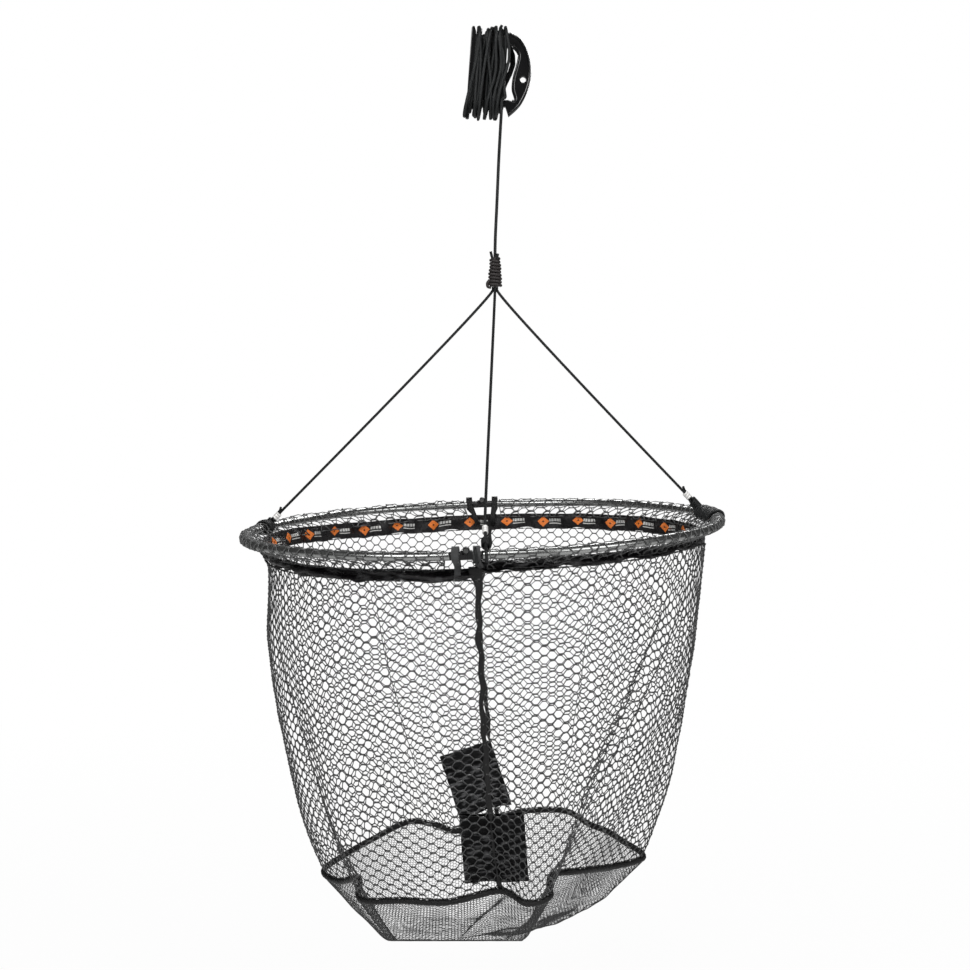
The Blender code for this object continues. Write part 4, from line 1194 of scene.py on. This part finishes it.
def make_eye_knot(side, body, radius, centre, sideways, tangent, up):
    """The cord's turns round its own loop, just above the hoop."""
    first, turns = EYE_KNOT[side]
    turn = turning(WRAP_STEPS, int(WRAP_STEPS * turns))
    wide = 0.0052 + 0.0004 * np.sin(3 * turn)
    climb = first + 0.0030 * turn / TAU + 0.0016 * np.cos(turn)
    knot = centre + up * climb[:, None] + sideways * (wide * np.cos(turn))[:, None]
    knot = knot + tangent * (0.0042 * np.sin(turn))[:, None]
    looks = {"relief": 0.1, "lay": LEG_LAY, "body": body}
    cordage(f"hoop_eye_knot_{side}", knot, radius * 1.1, "leg", 0.0010, 12, **looks)


def make_ferrule(side, body, foot, sideways, tangent, up):
    """A soft metal sleeve with two crimps and rounded ends, from its foot upwards."""
    stations = np.linspace(0, 1, 34)[:, None]
    crimps = 0.00075 * (bell(stations - 0.32, 0.09) + bell(stations - 0.68, 0.09))
    soft = 0.0007 * (np.exp(-stations / 0.03) + np.exp(-(1 - stations) / 0.03))
    around = turning(28)
    wide = (0.0047 - soft - 0.2 * crimps) * np.cos(around)
    thin = (0.0040 - soft - crimps) * np.sin(around)
    middle = foot + up * FERRULE_LENGTH * stations
    grid = middle[:, None] + wide[..., None] * sideways + thin[..., None] * tangent
    ferrule = skin(f"crimped_ferrule_{side}", grid, FINISHES["ferrule"], sharp=60)
    ride(ferrule, body, "ferrule", f"ferrule_{side}")


def make_bridle(sizes):
    """Three taut legs, each crimped into a loop round the hoop, with the cord hitched beside it."""
    radius = sizes.leg / 2
    for side, (centre, tangent, up, knot_foot) in leg_places().items():
        sideways = np.cross(tangent, up)
        half = "left" if side == "left" else "right"
        body = f"hoop_{half}"
        ferrule_foot = centre + up * (EYE_RISE[side] + LEG_GAP)
        make_eye(side, body, radius, centre, sideways, up)
        make_ferrule(side, body, ferrule_foot, sideways, tangent, up)

        top = ferrule_foot + up * FERRULE_LENGTH
        tail = [top + up * rise + sideways * out for rise, out in LEG_END_ROUTE]
        cordage(f"leg_end_stub_{side}", tail, radius * 0.9, "leg", 0.0008, 12, relief=0.08, body=body)

        foot = top + up * LEG_GAP
        head = knot_foot + np.array((*LEG_SPREAD[side], -LEG_GAP))
        start, stop = head - (0, 0, 2 * radius), foot + up * 2 * radius
        below, above = start - (0, 0, LEG_STIFF_LENGTH), stop + up * LEG_STIFF_LENGTH
        t = (0.5 - 0.5 * np.cos(np.pi * np.linspace(0, 1, 60)))[:, None]
        s = 1 - t
        run = start * s**3 + below * 3 * s * s * t + above * 3 * s * t * t + stop * t**3
        run = np.vstack([head, run, foot])
        looks = {"relief": 0.09, "lay": LEG_LAY}
        name = f"bridle_leg_cord_{side}"
        leg, path = braided(name, run, radius, FINISHES["leg"], 0.0011, LEG_SECTION, **looks)
        share = np.repeat(smooth_share(np.linspace(0, 1, len(path))), LEG_SECTION)
        bend(leg, half, "rope", share, f"bridle_leg_{side}")
        make_eye_knot(side, body, radius, centre, sideways, tangent, up)
    make_hitches(sizes)


def make_hitches(sizes):
    """The cord's wraps round the hoop beside each leg, and the capped end of cord by the side ones."""
    radius = sizes.leg / 2
    angles = {**SIDE_LEG_ANGLES, "front": from_hinge(1, -1, FRONT_LEG_OFFSET - 0.0045)}
    for name, (half, way, turns, pitch, capped) in HITCHES.items():
        angle = angles[name]
        turn = turning(WRAP_STEPS, int(turns * WRAP_STEPS))
        out = TUBE_RADIUS + 0.0018 + radius + 0.0006 * np.sin(2.3 * turn) + 0.0004 * np.sin(0.41 * turn)
        at = angle + way * (HITCH_GAP + pitch * turn / TAU) / HOOP_RADIUS
        path = on_hoop(at, out * np.cos(turn + 1.2), out * np.sin(turn + 1.2))
        looks = {"relief": 0.1, "lay": LEG_LAY, "body": f"hoop_{half}"}
        cordage(f"hoop_hitch_{name}", path, radius, "leg", 0.0010, 12, **looks)
        if capped:
            at = angle - way * np.array(CAP_REACH) / HOOP_RADIUS
            first, last = on_hoop(at, CAP_OUTWARD, np.array(CAP_UP))
            route = first + (last - first) * np.linspace(0, 1, 8)[:, None]
            looks = {"taper": 0.6, "body": f"hoop_{half}", "node_slot": "ferrule"}
            cordage(f"cord_end_cap_{name}", route, 0.0023, "ferrule", 0.0008, 14, **looks)


# Hoop and what is wrapped round it

def make_hoop():
    """Two half hoops of bare metal tube between the moulded hinges, whose own solids only get a finish."""
    around = turning(24)[None]
    for name, side in SIDES.items():
        start, stop = from_hinge(side, -1, COLLAR_END), from_hinge(side, 1, COLLAR_END)
        angles = np.linspace(start, stop, 220)[:, None]
        droop = 0.0006 * np.sin(7 * angles + side)
        grid = on_hoop(angles, TUBE_RADIUS * np.cos(around), TUBE_RADIUS * np.sin(around) + droop)
        tube = skin(f"hoop_tube_half_{name}", grid, FINISHES["metal"])
        ride(tube, f"hoop_{name}", "tube", f"hoop_tube_{name}")
    for name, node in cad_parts.items():
        if name.startswith("hinge_"):
            node.data.materials.clear()
            node.data.materials.append(FINISHES["metal" if "pin" in name else "hinge"])


def wrap_path(radius, spread, count, foot, room, loose=0.0):
    """Places (outward, up) from the ribbon's outer face round the tube and back to its inner face."""
    tail = math.atan2(-BAND_DROP, BAND_REACH)
    turn = np.linspace(tail + spread, tail + TAU - spread, count)
    far = radius + loose * np.clip(np.sin(turn), 0, 1) ** 2
    outside = [(BAND_REACH + room, foot), (BAND_REACH + room, -BAND_DROP)]
    inside = [(BAND_REACH - room, -BAND_DROP), (BAND_REACH - room, foot)]
    return np.vstack([outside, together(far * np.cos(turn), far * np.sin(turn)), inside])


def make_sleeves(sizes):
    """Mesh that comes up from the ribbon, goes over the tube and down again, gathered to two layers."""
    path = wrap_path(TUBE_RADIUS + 0.0011, math.radians(38), 30, -0.0200, 0.0010)
    along = travel(path)
    for name, side in SIDES.items():
        for end_name, end in ENDS.items():
            start = from_hinge(side, end, SLEEVE_START)
            stop = SIDE_LEG_ANGLES[name] + 0.0026 / HOOP_RADIUS * side * end
            columns = round(2 * sizes.columns * abs(stop - start) / TAU)
            lift = SLEEVE_LIFT[(end_name, name)]

            def place(u, v):
                level = np.abs(v - 0.5)
                wander = 0.0010 * np.sin(41 * u + 9 * level) + 0.0008 * np.sin(97 * u - 5 * level)
                at = np.clip(v, 0, 1) * along[-1]
                outward, up = np.interp(at, along, path[:, 0]), np.interp(at, along, path[:, 1])
                raised = lift * bell(level, 0.16) * np.sin(0.5 * columns * u) ** 2
                slack = 1 + 0.05 * np.sin(60 * u + 12 * level) ** 2 + raised
                angle = start + (stop - start) * u + wander / HOOP_RADIUS * 2
                return on_hoop(angle, outward * slack, up * slack)

            def normals(u, v):
                return unit(place(u, v) - on_hoop(start + (stop - start) * u))

            a, b, level = hex_threads(columns, SLEEVE_ROWS)
            thick = sizes.thread / 2 * np.where(level, 1.15, 0.85)
            piece = f"mesh_sleeve_{name}_{end_name}"
            sleeve = strands(piece, a, b, normals, thick, FINISHES["sleeve"], place)
            bend(sleeve, name, "mesh", wrap_share(vertices(sleeve)), f"net_sleeve_{name}_{end_name}")


def make_tabs():
    """Webbing folded over the tube on each side of both hinges, and sewn to the ribbon."""
    stations = np.linspace(-0.5, 0.5, 16)[:, None]
    inner_radius = TUBE_RADIUS + TAB_GAP
    half = TAB_THICKNESS / 2
    for name, side in SIDES.items():
        for end_name, end in ENDS.items():
            wander, slide, foot = TABS[(end_name, name)]
            room = TAB_ROOM[end_name]
            outer = wrap_path(inner_radius + TAB_THICKNESS, math.radians(32), 36, foot, room + half, 0.0040)
            inner = wrap_path(inner_radius, math.radians(36), 36, foot, room - half, 0.0036)
            section = np.vstack([outer, inner[::-1]])
            low = smooth_share((-section[:, 1] - TUBE_RADIUS) / 0.020)
            distance = TAB_OFFSET[end_name] + TAB_WIDTH * stations * (1 - 0.12 * low) - slide * low
            ragged = 1 + 1.5 * (np.abs(stations) > 0.45)
            fray = 0.00030 * np.sin(2.7 * np.arange(len(section)) + 9 * stations) * ragged
            outward = section[:, 0] * (1 + fray / TUBE_RADIUS) + wander * low
            grid = on_hoop(from_hinge(side, end, distance), outward, section[:, 1] + fray)
            marks = together(stations * TAB_WIDTH, travel(section))
            finish = FINISHES["webbing" if end_name == "front" else "tape"]
            tab = skin(f"webbing_tab_{end_name}_{name}", grid, finish, marks)
            bend(tab, name, "webbing", wrap_share(vertices(tab)), f"web_tab_{end_name}_{name}")


# Ribbon and net

def make_ribbon():
    """The satin band, slack enough to ripple, with its woven marks on the inner face."""
    rows, cols = 330, 15
    down = np.linspace(0, 1, cols)[None]
    for name, first in PANEL_STARTS.items():
        lost, fall = BAND_CRUSHED[name]
        angle = np.linspace(first, first + math.pi, rows)[:, None]
        crushed = crumple(angle)
        calm = 1 - 0.85 * np.abs(np.cos(angle)) ** 12
        wave = 0.0024 * np.sin(31 * angle + 2.6 * down) + 0.0018 * np.sin(53 * angle + 1.3 - 3 * down)
        wave = wave + 0.0036 * ripple(together(angle * 9, down * 1.2, 3.0), 0.9, 21)
        wave = calm * wave * (0.4 + 0.6 * np.sin(math.pi * np.clip(down, 0.1, 0.9)))
        folds = 0.0040 * calm * crushed * np.sin(TAU * down * 1.1 + 5 * np.sin(2.2 * angle))
        ragged = ripple(together(angle * 16, 0.0, 0.0), 1.0, 25)
        edge = 0.0012 * np.sin(19 * angle) + 0.0007 * np.sin(47 * angle) + 0.0030 * crushed * ragged
        height = BAND_HEIGHT * (1 - lost * crushed)
        up = -(BAND_DROP + fall * crushed) - height * down + edge * (0.3 + down) * calm + left_lift(angle)
        middle = BAND_REACH + wave + folds
        faces = [on_hoop(angle, middle + way * BAND_THICKNESS / 2, up) for way in (1, -1)]
        for face in faces:
            face[..., 0] += tuck(angle, 0.0) * down
        marks = together((angle - math.pi / 2) * BAND_RADIUS, down * BAND_HEIGHT)
        grid = both_faces(*faces)
        band = skin(f"ribbon_band_{name}", grid, FINISHES["ribbon"], both_faces(marks, marks), sharp=60)
        flags = band.data.attributes.new("inner_face", "FLOAT", "POINT")
        flags.data.foreach_set("value", np.tile(np.repeat([0.0, 1.0], cols), rows).astype(np.float32))
        bend(band, name, "ribbon", hinge_share(vertices(band)), f"ribbon_{name}")


def make_walls(sizes):
    """Two panels of flat-topped hexagonal mesh, a little uneven, between the ribbon and the foot seam."""
    for name, first in PANEL_STARTS.items():

        def place(u, v):
            inside = np.sin(math.pi * u) ** 0.4 * np.sin(math.pi * np.clip(v, 0, 1)) ** 0.5
            lattice = together(u * 12, v * 6, first)
            along = 0.0030 * ripple(lattice, 0.7, 1) * inside + 0.0010 * ripple(lattice, 0.16, 5) * inside
            down = 0.0045 * ripple(lattice, 0.9, 2) * inside + 0.0010 * ripple(lattice, 0.15, 6) * inside
            swell = 0.0060 * ripple(lattice, 2.6, 3) * inside + 0.0012 * ripple(lattice, 0.5, 4) * inside
            for fold_name, start, slope, wide, strong in FOLDS:
                if fold_name == name:
                    away = (u - start - slope * v) / wide
                    held = strong * np.clip(np.sin(math.pi * (v - 0.08) / 0.90), 0, 1)
                    along = along - held * wide * math.pi * 0.3 * 1.5 * away * np.exp(-(away**2))
                    swell = swell + held * 0.010 * np.exp(-((away * 1.4) ** 2)) * (1 + 0.6 * away)
            at_start, at_end = ("back", "front") if name == "left" else ("front", "back")
            held = bell(u, 0.11) * seam_lean(at_start, v) + bell(1 - u, 0.11) * seam_lean(at_end, v)
            angle = first + math.pi * u + along / 0.3 + held / BAND_RADIUS
            raised = WALL_RAISED[name] * crumple(angle) + left_lift(angle) / 0.43
            depth = np.clip(v + down / 0.44, 0, 1) - raised * (1 - np.clip(v * 7, 0, 1))
            return on_wall(angle, depth) + wall_normal(angle, depth) * swell[..., None]

        def normals(u, v):
            return wall_normal(first + math.pi * u, np.clip(v, 0, 1))

        a, b, level = hex_threads(sizes.columns, sizes.rows)
        thick = sizes.thread / 2 * np.where(level, 1.45, 0.80)
        wall = strands(f"hex_mesh_wall_{name}", a, b, normals, thick, FINISHES["mesh"], place)
        points = vertices(wall)
        low_z, high_z = WALL_TURNED_Z
        high = smooth_share((points[:, 2] - low_z) / (high_z - low_z))
        bend(wall, name, "mesh", hinge_share(points) * high, f"net_wall_{name}")


def make_seams():
    """Folded tapes over the joints of the two panels."""
    depth = np.linspace(-0.055, 1, 220)
    turn = turning(20)
    sway = (0.0017 * np.sin(61 * depth + 1) + 0.0012 * np.sin(27 * depth)) * np.clip(1.1 - depth, 0, 1)
    gathered = 1.3 * (1 - smooth_share((depth + 0.034) / 0.056))
    narrow = 0.5 * smooth_share((depth - 0.72) / 0.04) * (1 - smooth_share((depth - 0.96) / 0.03))
    uneven = 0.12 * np.sin(47 * depth) + 0.06 * np.sin(113 * depth)
    wide = SEAM_WIDTH / 2 * (0.84 + gathered - narrow + uneven)[:, None]
    thin = SEAM_THICKNESS * (1 + 0.25 * np.sin(83 * depth))[:, None]
    x = wide * squared(np.cos(turn), 0.6)
    y = thin * squared(np.sin(turn), 0.8) * (1 - 0.35 * bell(x / wide, 0.28))
    marks = together((depth * SEAM_LENGTH)[:, None], x)
    for name, angle in SEAM_ANGLES.items():
        leaning = angle + (seam_lean(name, depth) + sway) / BAND_RADIUS
        along = unit(on_wall(leaning + 0.01, depth) - on_wall(leaning - 0.01, depth))
        grid = on_wall(leaning, depth)[:, None] + across(along, wall_normal(leaning, depth), x, y)
        ride(skin(f"seam_tape_{name}", grid, FINISHES["tape"], marks), "hanger", "ribbon", f"seam_{name}")


def make_foot():
    """The thick bound seam round the foot, puckered where the stitches draw it in."""
    middle = on_foot(-math.pi / 2 + turning(FOOT_STEPS))
    side, over = axes_along(middle, (0, 0, 1))
    turn = turning(20)
    metres = travel(np.vstack([middle, middle[:1]]))[:-1][:, None]
    pucker = 0.10 * np.sin(TAU * metres / STITCH_PITCH + 1.5 * np.cos(turn))
    pucker = pucker + 0.10 * np.sin(TAU * metres / 0.037)
    radius = RING_RADIUS * (0.98 + pucker * (0.5 + 0.5 * np.cos(turn - 0.6)))
    grid = middle[:, None] + across(side, over, radius * np.cos(turn), radius * np.sin(turn))
    marks = together(metres, turn * RING_RADIUS)
    binding = skin("foot_seam_binding", grid, FINISHES["tape"], marks, ring=True)
    ride(binding, "hanger", "ribbon", "foot_seam")


def base_profile(inwards, falls):
    """Shares inwards and down of a section of the base, smoothed from its main points."""
    fine = np.linspace(0, 1, 240)
    down = np.interp(fine, inwards, falls)
    kernel = np.hanning(25) / np.hanning(25).sum()
    padded = np.concatenate([2 * down[0] - down[12:0:-1], down, np.ones(12)])
    return fine, np.convolve(padded, kernel, "valid")


def make_base(sizes):
    """The shallow bowl of fine mesh below the foot seam, in two halves."""
    share, down = base_profile((0, 0.22, 0.46, 0.72, 1), (0, 0.48, 0.76, 0.84, 1))
    share, boxy = base_profile((0, 0.22, 0.43, 0.52, 1), (0, 0.50, 0.93, 0.99, 1))
    edge = on_foot(-math.pi / 2 + turning(FOOT_STEPS)) - (0, 0, RING_RADIUS + 0.0003)
    middle = np.array((*BASE_MIDDLE, HOOP_Z + BASE_FLOOR_Z + 0.001))
    out = edge[:, :2] - middle[:2]
    bearing = np.arctan2(out[:, 1], out[:, 0])
    order = np.argsort(bearing)
    bearing, far, rim_z = bearing[order], np.linalg.norm(out, axis=1)[order], edge[order, 2]
    mean_far, mean_drop = far.mean(), (rim_z - middle[2]).mean()
    unrolled = travel(together((1 - share) * mean_far, -down * mean_drop, 0.0))
    stretch = unrolled[-1] / mean_far

    def place(x, y):
        angle = np.arctan2(y, x)
        limit = np.interp(angle, bearing, far, period=TAU)
        ring_z = np.interp(angle, bearing, rim_z, period=TAU)
        out_share = np.clip(np.hypot(x, y) / (limit * stretch), 0, 1)
        inwards = np.interp((1 - out_share) * unrolled[-1], unrolled, share)
        steep = smooth_share((0.62 - np.cos(angle)) / 0.35)
        fall = np.interp(inwards, share, down) * (1 - steep) + np.interp(inwards, share, boxy) * steep
        reach = limit * (1 - inwards)
        y_world = middle[1] + reach * np.sin(angle)
        lowest = EYE[2] - UNDERSIDE_SLOPE * (y_world - EYE[1])
        z_world = np.maximum(ring_z + (middle[2] - ring_z) * fall, lowest)
        crease = 0.0035 * ripple(together(x * 1.4, y * 1.4, 0.0), 0.055, 6) * np.clip(inwards * 6, 0, 1)
        return together(middle[0] + reach * np.cos(angle), y_world, z_world + np.abs(crease))

    def normals(x, y):
        return np.broadcast_to(np.array((0.05, 0.02, 1.0)), (*np.shape(x), 3))

    def in_reach(p):
        limit = np.interp(np.arctan2(p[:, 1], p[:, 0]), bearing, far, period=TAU)
        return np.hypot(p[:, 0], p[:, 1]) < limit * stretch * 1.004

    size = 2 * far.max() * stretch
    count = int(size / sizes.base_cell)
    a, b, _ = hex_threads(count, int(count * 1.15), 0.66)
    a, b = (a - 0.5) * size, (b - 0.5) * size
    kept = in_reach(a) | in_reach(b)
    left = (a[:, 0] + b[:, 0]) / 2 < -0.5 * BASE_MIDDLE[0]
    for name, half in (("left", kept & left), ("right", kept & ~left)):
        thick = np.full(half.sum(), BASE_THREAD_RADIUS)
        looks = (normals, thick, FINISHES["fine"], place)
        base = strands(f"fine_mesh_base_{name}", a[half], b[half], *looks, count=3, rings=2)
        ride(base, "hanger", "mesh", *(["net_base"] if name == "left" else []))


# Weight pockets

def pocket_axes(name):
    """The middle of a pocket's top edge at its back, and the ways along, into the net and up."""
    angle, depth, room, shift, tilt = POCKETS[name]
    top, foot = on_wall(angle, depth), on_wall(angle, 0.985)
    up = unit(top - foot)
    along = on_wall(angle + 0.02, depth) - on_wall(angle - 0.02, depth)
    along = unit(along - up * (along @ up))
    inward = unit(np.cross(up, along))
    axes = np.stack([along, inward, up], 1)
    c, s = math.cos(tilt), math.sin(tilt)
    turned = np.array([[c, 0, s], [0, 1, 0], [-s, 0, c]])
    pivot = np.array((0, 0, -POCKET_LENGTH / 2))
    origin = top + inward * room + along * shift
    return origin + axes @ (pivot - turned @ pivot), axes @ turned


def make_pockets(sizes):
    """Empty pouches of thin cloth with creases, hems and a flap that lifts."""
    half = sizes.pocket / 2
    x = np.linspace(-1, 1, 81)[:, None]
    bow = (x * half) ** 2 / (2 * POCKET_BEND_RADIUS)
    for number, name in enumerate(POCKETS):
        origin, axes = pocket_axes(name)

        def leaf(piece, aside, up, back, front, z):
            """A thin piece of cloth between its back and front, whose flat places down are z."""
            sheets = [origin + together(aside, bow + depth, up) @ axes.T for depth in (back, front)]
            marks = together(x * half, z)
            return skin(piece, both_faces(*sheets), FINISHES["pocket"], both_faces(marks, marks))

        length = POUCH_LENGTH[name]
        z = np.linspace(0, -length, 96)[None]
        soft = np.clip((1 - np.abs(x)) / 0.05, 0, 1) ** 0.5
        ends = np.clip(np.minimum(-z, z + length) / 0.004, 0, 1) ** 0.5
        below_flap = 0.35 + 0.65 * smooth_share((-z - 0.020) / 0.010)
        hem = bell(np.abs(x) - 0.93, 0.035) + bell(z + length - 0.004, 0.002)
        puff = 0.0008 + 0.0018 * soft * ends * (0.55 + 0.45 * np.cos(x * 1.2)) + 0.0005 * hem
        flat = together(x * half * 34, z * 120, 7.0 + number)
        crease = 0.0030 * ripple(flat, 1.0, 8 + number) + 0.0010 * ripple(flat * 2.3, 1.0, 11)
        crease = (crease + 0.0016 * ripple(flat * 0.3, 1.0, 13)) * soft * ends * below_flap
        waist = half * (1 - 0.012 * np.sin(math.pi * z / length) ** 2) + 0.0006 * np.sin(260 * z)
        sag = 0.0042 * (x**2 - 0.35 + 0.3 * np.sin(5 * x)) * (z / length) ** 2
        back = 0.0009 + np.clip(crease, -0.0014, 0.0018)
        front = np.clip(back + puff + 0.3 * crease, 0.0012, 0.0058)
        pouch = leaf(f"pocket_pouch_{name}", x * waist, z - sag, back, front, z)
        ride(pouch, "hanger", "pocket", f"pocket_{name}")

        z = np.linspace(0.0004, -FLAP_LENGTH, 22)[None]
        near = FLAP_DEPTH + np.abs(0.0005 * np.sin(3.1 * x + number) * np.clip(-z / FLAP_LENGTH, 0, 1))
        far = near + 0.0008 + 0.0006 * bell(z + 0.0225, 0.0016)
        flap = leaf(f"pocket_flap_leaf_{name}", x * (half - 0.0004), z, near, far, z)
        ride(flap, f"flap_{name}", "pocket", f"pocket_flap_{name}")


# Operators and panel

class DROPNET_OT_stage(bpy.types.Operator):
    """Set up the camera, lamps, floor and finishes"""

    bl_idname = "drop_net.stage"
    bl_label = "Studio and Finishes"

    def execute(self, context):
        make_stage()
        return {"FINISHED"}


class DROPNET_OT_winder(bpy.types.Operator):
    """Mould the hand winder"""

    bl_idname = "drop_net.winder"
    bl_label = "Winder"

    def execute(self, context):
        make_winder()
        return {"FINISHED"}


class DROPNET_OT_rope(bpy.types.Operator):
    """Wind the rope and hang its free run"""

    bl_idname = "drop_net.rope"
    bl_label = "Rope"

    def execute(self, context):
        make_rope(context.scene.drop_net_sizes)
        return {"FINISHED"}


class DROPNET_OT_knot(bpy.types.Operator):
    """Whip the knot that joins rope and bridle"""

    bl_idname = "drop_net.knot"
    bl_label = "Knot"

    def execute(self, context):
        make_knot(context.scene.drop_net_sizes)
        return {"FINISHED"}


class DROPNET_OT_bridle(bpy.types.Operator):
    """Run the three legs, with their ferrules, eyes and hitches"""

    bl_idname = "drop_net.bridle"
    bl_label = "Bridle"

    def execute(self, context):
        make_bridle(context.scene.drop_net_sizes)
        return {"FINISHED"}


class DROPNET_OT_hoop(bpy.types.Operator):
    """Bend the two half hoops and finish their hinges"""

    bl_idname = "drop_net.hoop"
    bl_label = "Hoop"

    def execute(self, context):
        make_hoop()
        return {"FINISHED"}


class DROPNET_OT_wraps(bpy.types.Operator):
    """Wrap the mesh sleeves and webbing tabs round the tube"""

    bl_idname = "drop_net.wraps"
    bl_label = "Sleeves and Tabs"

    def execute(self, context):
        make_sleeves(context.scene.drop_net_sizes)
        make_tabs()
        return {"FINISHED"}


class DROPNET_OT_ribbon(bpy.types.Operator):
    """Hang the ribbon band"""

    bl_idname = "drop_net.ribbon"
    bl_label = "Ribbon"

    def execute(self, context):
        make_ribbon()
        return {"FINISHED"}


class DROPNET_OT_net(bpy.types.Operator):
    """Knot the walls, tape their seams and sew the foot and the base"""

    bl_idname = "drop_net.net"
    bl_label = "Net"

    def execute(self, context):
        make_walls(context.scene.drop_net_sizes)
        make_seams()
        make_foot()
        make_base(context.scene.drop_net_sizes)
        return {"FINISHED"}


class DROPNET_OT_pockets(bpy.types.Operator):
    """Sew the two weight pockets and their flaps"""

    bl_idname = "drop_net.pockets"
    bl_label = "Pockets"

    def execute(self, context):
        make_pockets(context.scene.drop_net_sizes)
        return {"FINISHED"}


OPERATORS = (
    DROPNET_OT_stage,
    DROPNET_OT_winder,
    DROPNET_OT_rope,
    DROPNET_OT_knot,
    DROPNET_OT_bridle,
    DROPNET_OT_hoop,
    DROPNET_OT_wraps,
    DROPNET_OT_ribbon,
    DROPNET_OT_net,
    DROPNET_OT_pockets,
)


class DROPNET_PT_panel(bpy.types.Panel):
    """The sizes, the colours and a button for each piece"""

    bl_idname = "DROPNET_PT_panel"
    bl_label = "Drop Net"
    bl_space_type = "VIEW_3D"
    bl_region_type = "UI"
    bl_category = "Drop Net"

    def draw(self, context):
        layout = self.layout
        for group in (context.scene.drop_net_sizes, context.scene.drop_net_colours):
            box = layout.box()
            for key in group.__annotations__:
                box.prop(group, key)
        for operator in OPERATORS:
            layout.operator(operator.bl_idname)


CLASSES = (DropNetSizes, DropNetColours, *OPERATORS, DROPNET_PT_panel)


def register():
    for made in CLASSES:
        bpy.utils.register_class(made)
    bpy.types.Scene.drop_net_sizes = PointerProperty(type=DropNetSizes)
    bpy.types.Scene.drop_net_colours = PointerProperty(type=DropNetColours)


def unregister():
    del bpy.types.Scene.drop_net_colours
    del bpy.types.Scene.drop_net_sizes
    for made in reversed(CLASSES):
        bpy.utils.unregister_class(made)


def main():
    register()
    for operator in OPERATORS:
        group, call = operator.bl_idname.split(".")
        getattr(getattr(bpy.ops, group), call)()


if __name__ == "__main__":
    main()
